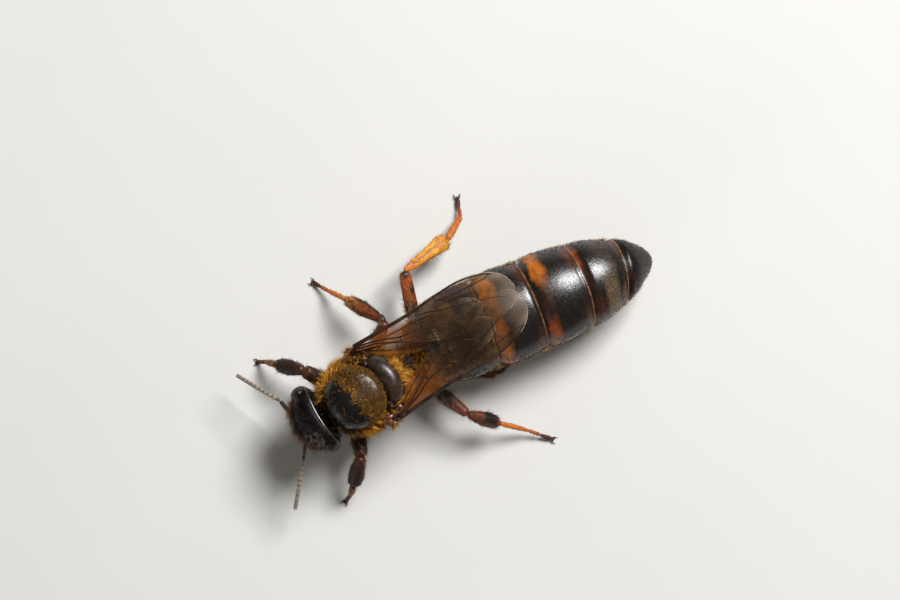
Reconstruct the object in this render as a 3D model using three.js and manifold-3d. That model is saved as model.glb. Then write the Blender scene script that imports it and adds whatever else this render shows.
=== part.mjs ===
// A honey bee queen (Apis mellifera), life size, standing still with folded wings.
// Millimetres, +Z up. The bee's head points to -Y, its tail to +Y, its left side is +X.
// The bee is modelled along the axis of its thorax, then turned so that its length lies on Y.
// The origin lies on the floor, under the middle of the bounding box.

import * as THREE from 'three';
import { mergeVertices } from 'three/addons/utils/BufferGeometryUtils.js';
import Module from 'manifold-3d';

const wasm = await Module();
wasm.setup();

// ---- driving dimensions ----

const GAP = 0.06; // between neighbouring pieces
const THORAX_TURN = 9; // degrees from the thorax axis to the length of the whole bee
const BIG = 40; // edge of the blocks that cut along a plane

const HEAD = {
  centre: [-0.12, -2.93, 3.66],
  radii: [1.72, 0.74, 1.62],
  topHeavy: 0.16, // how much wider the top is than the bottom
  lean: 0.1, // how far the top leans forward
  wrap: 0.34, // how far the sides bend back round the neck
};
const EYE = { out: 1.42, centre: [-2.72, 3.92], radii: [0.44, 0.52, 1.06], slant: 9 };
const CLYPEUS = { centre: [-0.12, -3.36, 2.85], radii: [0.62, 0.36, 0.62] };
const MANDIBLE = { root: [0.52, -3.12, 2.3], tip: [0.12, -3.3, 1.45], thick: [0.28, 0.22] };
const TONGUE = { root: [-0.12, -2.5, 2.5], tip: [-0.12, -2.72, 1.5], thick: [0.3, 0.25] };
const NECK = { front: [-0.1, -2.5, 3.75], rear: [0, -1.6, 3.75], thick: 0.45 };

const FEELER_RADIUS = 0.26;
const FEELERS = {
  left: { root: [0.36, -3.62, 3.75], elbow: [1.07, -4.17, 3.15], tip: [3.16, -6.03, 2.35] },
  right: { root: [-0.36, -3.62, 3.75], elbow: [-1.85, -3.75, 3.3], tip: [-4.1, -4.95, 2.45] },
};

const THORAX = { centre: [0, -0.1, 3.72], radii: [2.02, 1.92, 1.72], boxy: 0.88 };
const COLLAR_REAR = -1.2; // y where the collar meets the sides of the thorax
const SCUTUM = { centre: [0, -0.5, 4.5], radii: [1.58, 1.55, 1.5] };
const SCUTELLUM = { centre: [0, 1.22, 4.7], radii: [1.36, 0.78, 1.0] };
const PLATE_FLOOR = 4.3; // z where the two back plates end inside the thorax
const PROPODEUM = { centre: [-0.05, 1.55, 3.7], radii: [1.5, 0.95, 1.35] };
const TEGULA = { centre: [1.78, 0.5, 4.82], radii: [0.42, 0.46, 0.24] };

// The abdomen follows this line from the waist to the tip.
const ABDOMEN_LINE = [
  [-0.19, 2.5, 3.9],
  [-0.05, 4.9, 3.34],
  [0.72, 9.5, 3.26],
  [1.33, 12.8, 2.96],
  [1.66, 14.4, 2.56],
  [2.15, 15.8, 1.92],
];
// Half the width of the abdomen, by the share of that line.
const ABDOMEN_HALF_WIDTH = [
  [0.0, 0.3],
  [0.04, 0.62],
  [0.08, 1.45],
  [0.16, 2.1],
  [0.4, 2.3],
  [0.63, 2.24],
  [0.76, 1.97],
  [0.87, 1.52],
  [0.95, 0.95],
  [0.985, 0.5],
  [1.0, 0.08],
];
const ABDOMEN_FLATNESS = 0.79; // height over width
const WAIST_RADII = [0.34, 0.5]; // of the petiole, in front and behind
// Rear edges of the six segments: share of the line, and how far the top and the left side lead.
const SEGMENT_EDGES = [
  { at: 0.04, lead: 0.05, skew: 0 },
  { at: 0.135, lead: 0.2, skew: 0 },
  { at: 0.325, lead: 0.24, skew: 0 },
  { at: 0.512, lead: 0.24, skew: 0 },
  { at: 0.694, lead: 0.32, skew: 0 },
  { at: 0.856, lead: 0.3, skew: -0.4 },
  { at: 1.0, lead: 0, skew: 0 },
];
const SEGMENT_STEP = 0.035; // how much narrower a segment starts than the one before it ends

const WING_THICK = 0.5;
// Where each wing starts, and its turn inwards, its rise to the tip and its tilt, in degrees.
const WINGS = {
  forewing_left: { root: [2.1, 0.95, 5.32], yaw: 1, pitch: 2, roll: 9 },
  forewing_right: { root: [-2.25, 0.85, 5.32], yaw: -0.3, pitch: 2, roll: 9 },
  hindwing_left: { root: [1.72, 1.5, 4.8], yaw: 5, pitch: 2, roll: 9 },
  hindwing_right: { root: [-1.86, 1.4, 4.8], yaw: 3.5, pitch: 2, roll: 9 },
};
// Outlines from the root: along the wing, and from the front edge towards the rear edge.
const FOREWING_OUTLINE = [
  [0, 0],
  [3, 0.1],
  [6.0, 0.02],
  [7.4, 0.4],
  [8.15, 1.0],
  [8.38, 1.7],
  [8.0, 2.42],
  [6.9, 2.76],
  [5.4, 2.62],
  [3.4, 1.95],
  [1.6, 0.95],
  [0, 0.34],
];
const HINDWING_OUTLINE = [
  [0, 0],
  [2.2, -0.02],
  [4.4, 0.02],
  [5.7, 0.36],
  [6.1, 0.92],
  [5.5, 1.45],
  [3.9, 1.7],
  [2.2, 1.55],
  [0.9, 1.0],
  [0, 0.4],
];

// Each leg: where it leaves the body, then its joints out to the foot, which stands on z = 0.
const FOOT = { radii: [0.27, 0.34, 0.26], height: 0.12 };
const TOE_LAP = 0.3; // share of the heel that the toes overlap
const LEGS = {
  front_left: {
    coxa: [0.5, -0.9, 2.2],
    hip: [0.98, -1.1, 1.6],
    knee: [2.67, -1.8, 2.75],
    ankle: [3.73, -2.94, 1.7],
    instep: [4.05, -3.35, 0.75],
    foot: [4.2, -3.7],
  },
  front_right: {
    coxa: [-0.5, -0.9, 2.2],
    hip: [-0.98, -1.1, 1.6],
    knee: [-2.5, -1.95, 2.75],
    ankle: [-3.5, -3.0, 1.7],
    instep: [-3.9, -3.4, 0.75],
    foot: [-4.1, -3.75],
  },
  middle_left: {
    coxa: [1.1, 0.6, 2.2],
    hip: [1.48, 3.0, 1.85],
    knee: [3.7, 3.85, 2.7],
    ankle: [4.95, 4.95, 1.65],
    instep: [6.07, 6.0, 0.62],
    foot: [7.05, 6.75],
  },
  middle_right: {
    coxa: [-1.05, 0.5, 2.2],
    hip: [-1.5, 1.55, 1.9],
    knee: [-2.45, 2.8, 3.1],
    ankle: [-4.45, 1.7, 1.75],
    instep: [-5.3, 1.15, 0.62],
    foot: [-6.0, 0.75],
  },
  hind_left: {
    coxa: [0.4, 1.7, 2.3],
    hip: [0.7, 3.6, 1.45],
    knee: [2.78, 6.2, 2.0],
    ankle: [1.95, 8.7, 1.0],
    instep: [1.85, 10.3, 0.45],
    foot: [1.95, 11.4],
  },
  hind_right: {
    coxa: [-0.52, 1.7, 2.3],
    hip: [-0.9, 3.75, 1.5],
    knee: [-4.08, 4.95, 2.6],
    ankle: [-4.3, 7.62, 1.5],
    instep: [-4.9, 8.8, 0.55],
    foot: [-5.75, 9.15],
  },
};
// Radii at both ends of each length of a leg, across and through it, by pair of legs.
const LEG_RADII = {
  front: {
    hip: [0.58, 0.36],
    femur: [0.3, 0.33],
    tibia: [0.26, 0.36],
    tarsus: [0.27, 0.25],
    through: 0.9,
  },
  middle: {
    hip: [0.5, 0.3],
    femur: [0.3, 0.33],
    tibia: [0.26, 0.36],
    tarsus: [0.27, 0.25],
    through: 0.9,
  },
  hind: {
    hip: [0.5, 0.32],
    femur: [0.32, 0.36],
    tibia: [0.28, 0.46],
    tarsus: [0.36, 0.25],
    through: 0.75,
  },
};

// ---- finishes ----

const finish = (color, roughness) => new THREE.MeshStandardMaterial({ color, roughness, metalness: 0 });
const FINISHES = {
  shell: () => finish(0x1d130c, 0.3),
  eye: () => finish(0x0d0906, 0.18),
  back: () => finish(0x2d2013, 0.4),
  red: () => finish(0x5a2410, 0.35),
  amber: () => finish(0x9a5212, 0.4),
  feeler: () => finish(0x3a2c22, 0.5),
  wing: () => finish(0x6b4620, 0.25),
};

// ---- shape helpers ----

// A closed mesh becomes a solid that can be joined and cut.
function toSolid(geometry) {
  const bare = geometry.clone();
  bare.deleteAttribute('normal');
  bare.deleteAttribute('uv');
  const merged = mergeVertices(bare, 1e-5);
  const mesh = new wasm.Mesh({
    numProp: 3,
    vertProperties: new Float32Array(merged.attributes.position.array),
    triVerts: new Uint32Array(merged.index.array),
  });
  return new wasm.Manifold(mesh);
}

function toGeometry(solid) {
  const mesh = solid.getMesh();
  const geometry = new THREE.BufferGeometry();
  geometry.setAttribute('position', new THREE.BufferAttribute(mesh.vertProperties, 3));
  geometry.setIndex(new THREE.BufferAttribute(mesh.triVerts, 1));
  geometry.computeVertexNormals();
  return geometry;
}

// Calls move(point) for every vertex of a geometry, and writes the point back.
function reshape(geometry, move) {
  const places = geometry.attributes.position;
  const point = new THREE.Vector3();
  for (let i = 0; i < places.count; i++) {
    point.fromBufferAttribute(places, i);
    move(point);
    places.setXYZ(i, point.x, point.y, point.z);
  }
  return geometry;
}

// The bee's left side is +X, so a right-hand place is the left-hand one mirrored.
const onSide = ([x, y, z], side) => [side === 'left' ? x : -x, y, z];

// An egg with its poles up and down. boxy below 1 squares it off, tilt turns it about Y, in degrees.
function egg(form, { grow = 0, around = 16, rings = 10, tilt = 0 } = {}) {
  const geometry = new THREE.SphereGeometry(1, around, rings);
  geometry.rotateX(Math.PI / 2);
  const power = form.boxy ?? 1;
  reshape(geometry, (p) => {
    p.set(
      Math.sign(p.x) * Math.abs(p.x) ** power * (form.radii[0] + grow),
      Math.sign(p.y) * Math.abs(p.y) ** power * (form.radii[1] + grow),
      Math.sign(p.z) * Math.abs(p.z) ** power * (form.radii[2] + grow),
    );
  });
  geometry.rotateY(THREE.MathUtils.degToRad(tilt));
  geometry.translate(...form.centre);
  return toSolid(geometry);
}

// A straight limb with round ends, lathed and laid from one point to another.
// through squeezes it in the direction that is most upright.
function limb(from, to, [rootRadius, tipRadius], { grow = 0, through = 1, around = 7 } = {}) {
  const start = new THREE.Vector3(...from);
  const axis = new THREE.Vector3(...to).sub(start);
  const length = axis.length();
  axis.normalize();
  const root = rootRadius + grow;
  const tip = tipRadius + grow;
  const end = length + grow;
  const profile = [
    new THREE.Vector2(0, -grow),
    new THREE.Vector2(0.78 * root, 0.2 * root - grow),
    new THREE.Vector2(root, 0.75 * root - grow),
    new THREE.Vector2(tip, end - 0.75 * tip),
    new THREE.Vector2(0.78 * tip, end - 0.2 * tip),
    new THREE.Vector2(0, end),
  ];
  const geometry = new THREE.LatheGeometry(profile, around, Math.PI / around);
  const across = new THREE.Vector3(0, 0, 1).cross(axis).normalize();
  const upright = across.clone().cross(axis).multiplyScalar(through);
  geometry.applyMatrix4(new THREE.Matrix4().makeBasis(across, axis, upright).setPosition(start));
  return toSolid(geometry);
}

// A block that holds everything on one side of a plane, to cut with.
function block(axis, from, side) {
  const centre = [0, 0, 0];
  centre['xyz'.indexOf(axis)] = from + (side * BIG) / 2;
  const geometry = new THREE.BoxGeometry(BIG, BIG, BIG);
  geometry.translate(...centre);
  return toSolid(geometry);
}

const bee = new THREE.Group();

// The slivers that a cut can leave beside a piece are dropped.
function add(name, solid, finishName) {
  const [piece] = solid.decompose().sort((a, b) => b.volume() - a.volume());
  const mesh = new THREE.Mesh(toGeometry(piece), FINISHES[finishName]());
  mesh.name = name;
  bee.add(mesh);
}

// ---- head ----

function headForm() {
  const geometry = new THREE.SphereGeometry(1, 18, 12);
  geometry.rotateX(Math.PI / 2);
  reshape(geometry, (p) => {
    const wide = 1 + HEAD.topHeavy * p.z;
    p.x = Math.sign(p.x) * Math.abs(p.x) ** 0.86 * HEAD.radii[0] * wide;
    p.y = p.y * HEAD.radii[1] - HEAD.lean * p.z + HEAD.wrap * (p.x / HEAD.radii[0]) ** 2;
    p.z = p.z * HEAD.radii[2];
  });
  geometry.translate(...HEAD.centre);
  return toSolid(geometry);
}

function buildHead() {
  const neck = (grow) => limb(NECK.front, NECK.rear, [NECK.thick, NECK.thick], { grow });
  let head = headForm().subtract(neck(GAP));
  const clypeus = egg(CLYPEUS, { around: 12, rings: 6 });
  head = head.subtract(egg(CLYPEUS, { around: 12, rings: 6, grow: GAP }));
  const tongue = (grow) => limb(TONGUE.root, TONGUE.tip, TONGUE.thick, { grow });
  head = head.subtract(tongue(GAP));
  for (const side of ['left', 'right']) {
    const sign = side === 'left' ? 1 : -1;
    const centre = [HEAD.centre[0] + sign * EYE.out, ...EYE.centre];
    const form = { centre, radii: EYE.radii };
    const options = { around: 12, rings: 8, tilt: sign * EYE.slant };
    add(`eye_${side}`, egg(form, options), 'eye');
    head = head.subtract(egg(form, { ...options, grow: GAP }));
    const ends = [onSide(MANDIBLE.root, side), onSide(MANDIBLE.tip, side)];
    const mandible = (grow) => limb(...ends, MANDIBLE.thick, { grow });
    head = head.subtract(mandible(GAP));
    const clear = mandible(0).subtract(egg(CLYPEUS, { around: 12, rings: 6, grow: GAP }));
    const half = block('x', sign * (GAP / 2), sign);
    add(`mandible_${side}`, clear.subtract(tongue(GAP)).intersect(half), 'red');
    buildFeeler(side);
  }
  add('head', head, 'shell');
  add('clypeus', clypeus, 'shell');
  add('tongue', tongue(0), 'red');
  add('neck', neck(0).subtract(thoraxForm(GAP)), 'shell');
}

function buildFeeler(side) {
  const { root, elbow, tip } = FEELERS[side];
  const scape = (grow) => limb(root, elbow, [FEELER_RADIUS, FEELER_RADIUS], { grow });
  const flagellum = limb(elbow, tip, [FEELER_RADIUS * 0.96, FEELER_RADIUS], {});
  add(`antenna_${side}_scape`, scape(0).subtract(headForm()), 'feeler');
  add(`antenna_${side}_flagellum`, flagellum.subtract(scape(GAP)), 'feeler');
}

// ---- thorax ----

const thoraxForm = (grow) => egg(THORAX, { grow, around: 20, rings: 12 });
const propodeumForm = (grow) => egg(PROPODEUM, { grow, around: 16, rings: 8 });

function buildThorax() {
  const above = block('z', PLATE_FLOOR, 1);
  const aboveGrown = block('z', PLATE_FLOOR - GAP, 1);
  const scutum = (grow) => {
    const dome = egg(SCUTUM, { grow, around: 22, rings: 14 });
    return dome.intersect(grow ? aboveGrown : above);
  };
  const scutellum = (grow) => {
    const crescent = egg(SCUTELLUM, { grow, around: 18, rings: 8 });
    return crescent.intersect(grow ? aboveGrown : above).subtract(scutum(GAP));
  };
  add('mesoscutum', scutum(0), 'back');
  add('scutellum', scutellum(0), 'back');
  const core = thoraxForm(0).subtract(scutum(GAP)).subtract(scutellum(GAP));
  add('pronotum', core.intersect(block('y', COLLAR_REAR, -1)), 'shell');
  add('thorax_sides', core.intersect(block('y', COLLAR_REAR + GAP, 1)), 'shell');
  const front = thoraxForm(GAP).add(scutellum(GAP));
  add('propodeum', propodeumForm(0).subtract(front), 'shell');
  for (const side of ['left', 'right']) {
    const form = { ...TEGULA, centre: onSide(TEGULA.centre, side) };
    const clear = egg(form, { around: 10, rings: 6 }).subtract(thoraxForm(GAP));
    add(`tegula_${side}`, clear, 'red');
  }
}

// ---- abdomen ----

const abdomenLine = new THREE.CatmullRomCurve3(ABDOMEN_LINE.map((p) => new THREE.Vector3(...p)));
const widthPoints = ABDOMEN_HALF_WIDTH.map(([at, half]) => new THREE.Vector2(at, half));
const widthTable = new THREE.SplineCurve(widthPoints).getSpacedPoints(160);

function halfWidthAt(share) {
  const after = widthTable.findIndex((p) => p.x >= share);
  if (after <= 0) return widthTable[after < 0 ? widthTable.length - 1 : 0].y;
  const [a, b] = [widthTable[after - 1], widthTable[after]];
  return THREE.MathUtils.mapLinear(share, a.x, b.x, a.y, b.y);
}

// The point of the abdomen at a share of its line, at a place on the unit disc across it.
function abdomenPoint(share, across, up, width) {
  const inside = THREE.MathUtils.clamp(share, 0, 1);
  const centre = abdomenLine.getPointAt(inside);
  const along = abdomenLine.getTangentAt(inside);
  const side = new THREE.Vector3(along.y, -along.x, 0).normalize();
  const top = side.clone().cross(along);
  const half = halfWidthAt(inside) * width;
  return centre
    .addScaledVector(side, across * half)
    .addScaledVector(top, up * half * ABDOMEN_FLATNESS)
    .addScaledVector(along, (share - inside) * abdomenLine.getLength());
}

// One ring of shell between two edges, narrower in front, with a small lip behind.
function segment(front, rear, isTip) {
  const length = abdomenLine.getLength();
  const steps = isTip ? 5 : 3;
  const profile = [new THREE.Vector2(0, 0)];
  for (let i = 0; i <= steps; i++) {
    profile.push(new THREE.Vector2(1, i / steps));
  }
  profile.push(new THREE.Vector2(0, 1));
  const geometry = new THREE.LatheGeometry(profile, 26);
  reshape(geometry, (p) => {
    const t = p.y;
    const lead = THREE.MathUtils.lerp(front.lead, rear.lead, t);
    const skew = THREE.MathUtils.lerp(front.skew, rear.skew, t);
    const gap = t === 0 ? GAP : 0;
    const share = THREE.MathUtils.lerp(front.at, rear.at, t);
    const shift = (lead * p.z + skew * p.x + gap) / length;
    const width = 1 - SEGMENT_STEP * (1 - t);
    p.copy(abdomenPoint(share + shift, p.x, p.z, width));
  });
  return toSolid(geometry);
}

function buildAbdomen() {
  const edges = SEGMENT_EDGES;
  const waistFront = abdomenLine.getPointAt(0).toArray();
  const waistRear = abdomenLine.getPointAt(edges[0].at).toArray();
  const waist = limb(waistFront, waistRear, WAIST_RADII);
  const thorax = propodeumForm(GAP).add(thoraxForm(GAP));
  const first = segment(edges[0], edges[1], false);
  add('petiole', waist.subtract(thorax).subtract(first), 'shell');
  for (let i = 0; i + 1 < edges.length; i++) {
    const ring = segment(edges[i], edges[i + 1], i + 2 === edges.length);
    const clear = i === 0 ? ring.subtract(thorax) : ring;
    add(`abdomen_segment_${i + 1}`, clear, i % 2 ? 'red' : 'shell');
  }
}

// ---- wings ----

// A wing blade. below and above are how far it reaches from its own underside.
function wing(name, outline, { grow = 0, below = 0, above = WING_THICK } = {}) {
  const { root, yaw, pitch, roll } = WINGS[name];
  const corners = outline.map(([along, across]) => new THREE.Vector2(along, across));
  const shape = new THREE.Shape(new THREE.SplineCurve(corners).getPoints(32));
  const geometry = new THREE.ExtrudeGeometry(shape, { depth: below + above, bevelEnabled: false });
  const sign = Math.sign(root[0]);
  // The outline's length goes to the tail and its width to the middle of the back.
  const mirror = new THREE.Matrix4().makeBasis(
    new THREE.Vector3(0, 1, 0),
    new THREE.Vector3(-sign, 0, 0),
    new THREE.Vector3(0, 0, sign),
  );
  geometry.translate(0, 0, sign > 0 ? -below : -above);
  geometry.applyMatrix4(mirror);
  geometry.scale(1 + grow / 4, 1 + grow / 8, 1);
  geometry.rotateY(THREE.MathUtils.degToRad(sign * roll));
  geometry.rotateX(THREE.MathUtils.degToRad(pitch));
  geometry.rotateZ(THREE.MathUtils.degToRad(sign * yaw));
  geometry.translate(...root);
  return toSolid(geometry);
}

function buildWings() {
  for (const [pair, outline] of [['forewing', FOREWING_OUTLINE], ['hindwing', HINDWING_OUTLINE]]) {
    // The right wing lies over the left one, which ends against it.
    const cutter = wing(`${pair}_right`, outline, { grow: 0.16, below: 2, above: 3 });
    add(`${pair}_right`, wing(`${pair}_right`, outline), 'wing');
    add(`${pair}_left`, wing(`${pair}_left`, outline).subtract(cutter), 'wing');
  }
}

// ---- legs ----

function buildLeg(name, joints) {
  const { hip, femur, tibia, tarsus, through } = LEG_RADII[name.split('_')[0]];
  const thorax = thoraxForm(GAP).add(propodeumForm(GAP));
  const coxa = (grow) => limb(joints.coxa, joints.hip, hip, { grow });
  const thigh = (grow) => limb(joints.hip, joints.knee, femur, { grow, through });
  const shin = (grow) => limb(joints.knee, joints.ankle, tibia, { grow, through });
  const [x, y] = joints.foot;
  const sole = [x, y, FOOT.height];
  const heel = limb(joints.ankle, joints.instep, tarsus, { around: 6 });
  const lap = joints.instep.map((value, i) => THREE.MathUtils.lerp(value, joints.ankle[i], TOE_LAP));
  const toes = limb(lap, sole, [tarsus[1], tarsus[1]], { around: 6 });
  const pad = egg({ centre: sole, radii: FOOT.radii }, { around: 8, rings: 4 });
  const foot = heel.add(toes).add(pad).intersect(block('z', 0, 1));
  add(`leg_${name}_coxa`, coxa(0).subtract(thorax), 'shell');
  add(`leg_${name}_femur`, thigh(0).subtract(coxa(GAP)).subtract(thorax), 'shell');
  add(`leg_${name}_tibia`, shin(0).subtract(thigh(GAP)), 'amber');
  add(`leg_${name}_tarsus`, foot.subtract(shin(GAP)), 'amber');
}

buildHead();
buildThorax();
buildAbdomen();
buildWings();
for (const [name, joints] of Object.entries(LEGS)) {
  buildLeg(name, joints);
}

bee.rotation.z = THREE.MathUtils.degToRad(THORAX_TURN);
bee.updateMatrixWorld(true);
const middle = new THREE.Box3().setFromObject(bee, true).getCenter(new THREE.Vector3());
bee.position.set(-middle.x, -middle.y, 0);

export default bee;
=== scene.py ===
"""The looks of a life-size honey bee queen (Apis mellifera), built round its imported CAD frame.

Shapes are worked out in millimetres along the axis of the thorax: -Y is towards the head, +X is the
bee's left side and +Z is up. to_row() sets them into the frame, in metres.
"""

import math

import bpy
import numpy as np
from mathutils import Matrix, Vector


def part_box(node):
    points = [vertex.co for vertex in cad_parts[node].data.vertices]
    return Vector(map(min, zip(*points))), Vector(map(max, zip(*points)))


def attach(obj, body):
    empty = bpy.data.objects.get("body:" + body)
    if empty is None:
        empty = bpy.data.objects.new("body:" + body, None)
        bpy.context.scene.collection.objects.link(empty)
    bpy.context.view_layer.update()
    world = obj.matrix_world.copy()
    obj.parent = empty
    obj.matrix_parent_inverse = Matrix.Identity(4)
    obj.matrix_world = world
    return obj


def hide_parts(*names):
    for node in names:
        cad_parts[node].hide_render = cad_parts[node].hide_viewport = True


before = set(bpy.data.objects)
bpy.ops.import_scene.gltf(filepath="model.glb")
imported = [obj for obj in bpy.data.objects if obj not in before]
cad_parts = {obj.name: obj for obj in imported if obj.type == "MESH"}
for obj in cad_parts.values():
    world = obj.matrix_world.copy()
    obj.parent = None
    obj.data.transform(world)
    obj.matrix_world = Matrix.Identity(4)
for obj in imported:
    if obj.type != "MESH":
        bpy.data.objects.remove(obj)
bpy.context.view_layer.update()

# ---- the thorax's place in the frame ----

MM = 0.001
SIDES = ((1, "left"), (-1, "right"))  # the sign of X on each side of the bee
THORAX_TURN = math.radians(9)  # from the thorax's axis to the frame's Y axis
SCUTUM = {"centre": np.array([0.0, -0.5, 4.5]), "radii": np.array([1.54, 1.53, 1.46])}

TURN = np.array(Matrix.Rotation(THORAX_TURN, 3, "Z"))
SCUTUM_LOW, SCUTUM_HIGH = (np.array(corner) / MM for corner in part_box("mesoscutum"))
SHIFT = ((SCUTUM_LOW + SCUTUM_HIGH) / 2 - TURN @ SCUTUM["centre"]) * np.array([1, 1, 0])


def to_row(points):
    """Millimetres in the thorax's frame to metres in the row's frame."""
    return (np.asarray(points) @ TURN.T + SHIFT) * MM


# ---- curves and small maths ----


STRETCH_STEPS = 24  # places worked out between two points of a path


def smooth_line(points, count=240):
    """A smooth line through the points, as evenly spaced places along it."""
    p = np.asarray(points, float)
    p = np.vstack([2 * p[0] - p[1], p, 2 * p[-1] - p[-2]])
    t = np.linspace(0, 1, STRETCH_STEPS, endpoint=False)[:, None]
    runs = []
    for a, b, c, d in zip(p, p[1:], p[2:], p[3:]):
        bend = (2 * a - 5 * b + 4 * c - d) * t**2 + (3 * b - a - 3 * c + d) * t**3
        runs.append(b + ((c - a) * t + bend) / 2)
    line = np.vstack(runs + [p[-2][None]])
    steps = np.r_[0, np.cumsum(np.linalg.norm(np.diff(line, axis=0), axis=1))]
    places = np.linspace(0, steps[-1], count)
    return np.column_stack([np.interp(places, steps, column) for column in line.T])


def follow(line, share):
    """The place on an evenly spaced line at a share of its length."""
    at = np.linspace(0, 1, len(line))
    return np.stack([np.interp(share, at, column) for column in line.T], -1)


def xyz(points):
    return np.moveaxis(points, -1, 0)


def unit(vectors):
    return vectors / np.maximum(np.linalg.norm(vectors, axis=-1, keepdims=True), 1e-9)


def step_up(x, low, high):
    """0 below low, 1 above high, smooth between."""
    t = np.clip((x - low) / (high - low), 0, 1)
    return t * t * (3 - 2 * t)


def ridge(x, width):
    return np.exp(-((x / width) ** 2))


def round_ends(u, blunt):
    """1 along a limb and falling to 0 at both ends, over blunt as a share of its length."""
    start, end = (np.sqrt(1 - np.clip(1 - left / blunt, 0, 1) ** 2) for left in (u, 1 - u))
    return start * end


def rotation(degrees, axis):
    return np.array(Matrix.Rotation(math.radians(degrees), 3, axis))


# ---- meshes ----


class Solid:
    """Closed pieces that are joined into one mesh, with a few numbers kept for each of their points."""

    def __init__(self, *keys):
        self.points = []
        self.faces = []
        self.values = {key: [] for key in keys}
        self.count = 0

    def add(self, points, faces, **values):
        """Adds a closed piece, with its faces turned outwards."""
        volume = 0.0
        for corners in faces:
            for second in range(1, corners.shape[1] - 1):
                a, b, c = (points[corners[:, i]] for i in (0, second, second + 1))
                volume += (a * np.cross(b, c)).sum()
        if volume < 0:
            faces = [corners[:, ::-1] for corners in faces]
        self.points.append(points)
        self.faces += [corners + self.count for corners in faces]
        for key, kept in self.values.items():
            kept.append(np.broadcast_to(values.get(key, 0.0), len(points)).astype(float))
        self.count += len(points)
        return self

    def add_tube(self, at, rows, columns, span=(0.0, 1.0), **values):
        """Adds the round form at(u, v), with its share of its length running over span."""
        points, faces, share, turn = tube(at, rows, columns)
        return self.add(points, faces, share=span[0] + (span[1] - span[0]) * share, round=turn, **values)

    def add_plate(self, at, rows, columns, thick):
        """Adds the thin plate at(u, v, depth), with its shares from front to rear and from side to side."""
        points, faces, share, side = plate(at, rows, columns, thick)
        return self.add(points, faces, share=share, side=side)

    def add_wire(self, path, radii, sides, rings, **values):
        return self.add(*wire(path, radii, sides, rings), **values)


def make_piece(name, solid, look, nodes=(), uv=None):
    """Makes the mesh object of a solid, which rides on the body and may stand for CAD nodes."""
    mesh = bpy.data.meshes.new(name)
    points = to_row(np.vstack(solid.points))
    corners = np.concatenate([part.ravel() for part in solid.faces])
    sizes = np.concatenate([np.full(len(part), part.shape[1]) for part in solid.faces])
    mesh.vertices.add(len(points))
    mesh.vertices.foreach_set("co", points.ravel())
    mesh.loops.add(len(corners))
    mesh.loops.foreach_set("vertex_index", corners.astype(np.int32))
    mesh.polygons.add(len(sizes))
    mesh.polygons.foreach_set("loop_start", np.r_[0, np.cumsum(sizes)[:-1]].astype(np.int32))
    mesh.polygons.foreach_set("use_smooth", np.ones(len(sizes), bool))
    mesh.update(calc_edges=True)
    mesh.validate()
    for key, kept in solid.values.items():
        data = mesh.attributes.new(key, "FLOAT", "POINT").data
        data.foreach_set("value", np.concatenate(kept).astype(np.float32))
    if uv is not None:
        layer = mesh.uv_layers.new(name="OFBake")
        layer.data.foreach_set("uv", uv[corners].astype(np.float32).ravel())
    mesh.materials.append(look)
    piece = bpy.data.objects.new(name, mesh)
    bpy.context.scene.collection.objects.link(piece)
    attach(piece, "root")
    if nodes:
        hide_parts(*nodes)


def quads(rows, columns, wrap):
    """Faces between the points of a grid, whose columns may join up round a tube."""
    i, j = np.meshgrid(np.arange(rows - 1), np.arange(columns if wrap else columns - 1), indexing="ij")
    right = (j + 1) % columns
    corners = [i * columns + j, i * columns + right, (i + 1) * columns + right, (i + 1) * columns + j]
    return np.stack([c.ravel() for c in corners], -1)


POLE_GAP = 0.004  # from a form's pole to its first ring, as a share of its length


def tube_faces(rows, columns):
    """Faces of a tube, whose rings of points are followed by the middles of its first and last ring."""
    j = np.arange(columns)
    after = (j + 1) % columns
    last = (rows - 1) * columns
    front = np.stack([after, j, np.full(columns, rows * columns)], -1)
    rear = np.stack([last + j, last + after, np.full(columns, rows * columns + 1)], -1)
    return [quads(rows, columns, True), front, rear]


def tube(at, rows, columns):
    """Points and faces of a closed round form, at(u, v) with v going round it and u from end to end."""
    shares = np.linspace(POLE_GAP, 1 - POLE_GAP, rows)
    u, v = np.meshgrid(shares, np.arange(columns) / columns, indexing="ij")
    rings = at(u, v)
    ends = np.stack([rings[0].mean(0), rings[-1].mean(0)])
    points = np.vstack([rings.reshape(-1, 3), ends])
    share = np.r_[u.ravel(), 0, 1]
    turn = np.r_[v.ravel(), 0.25, 0.25]
    return points, tube_faces(rows, columns), share, turn


def plate(at, rows, columns, thick):
    """Points and faces of a thin closed plate. at(u, v, depth) is a point at some depth below its face."""
    u, v = np.meshgrid(np.linspace(0, 1, rows), np.linspace(0, 1, columns), indexing="ij")
    points = np.vstack([at(u, v, 0.0).reshape(-1, 3), at(u, v, thick).reshape(-1, 3)])
    outer = quads(rows, columns, False)
    below = rows * columns
    grid = np.arange(below).reshape(rows, columns)
    rim = np.concatenate([grid[0, :-1], grid[:-1, -1], grid[-1, :0:-1], grid[:0:-1, 0]])
    after = np.roll(rim, -1)
    border = np.stack([rim, rim + below, after + below, after], -1)
    share = np.tile(u.ravel(), 2)
    side = np.tile(v.ravel(), 2)
    return points, [outer, outer[:, ::-1] + below, border[:, ::-1]], share, side


def lump(centre, radii, turn=None):
    """A rounded form with its poles at its sides."""

    def at(u, v):
        x = np.cos(np.pi * u)
        y = np.sin(np.pi * u) * np.cos(2 * np.pi * v)
        z = np.sin(np.pi * u) * np.sin(2 * np.pi * v)
        points = np.stack([x, y, z], -1) * np.asarray(radii)
        if turn is not None:
            points = points @ turn.T
        return points + np.asarray(centre)

    return at


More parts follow.
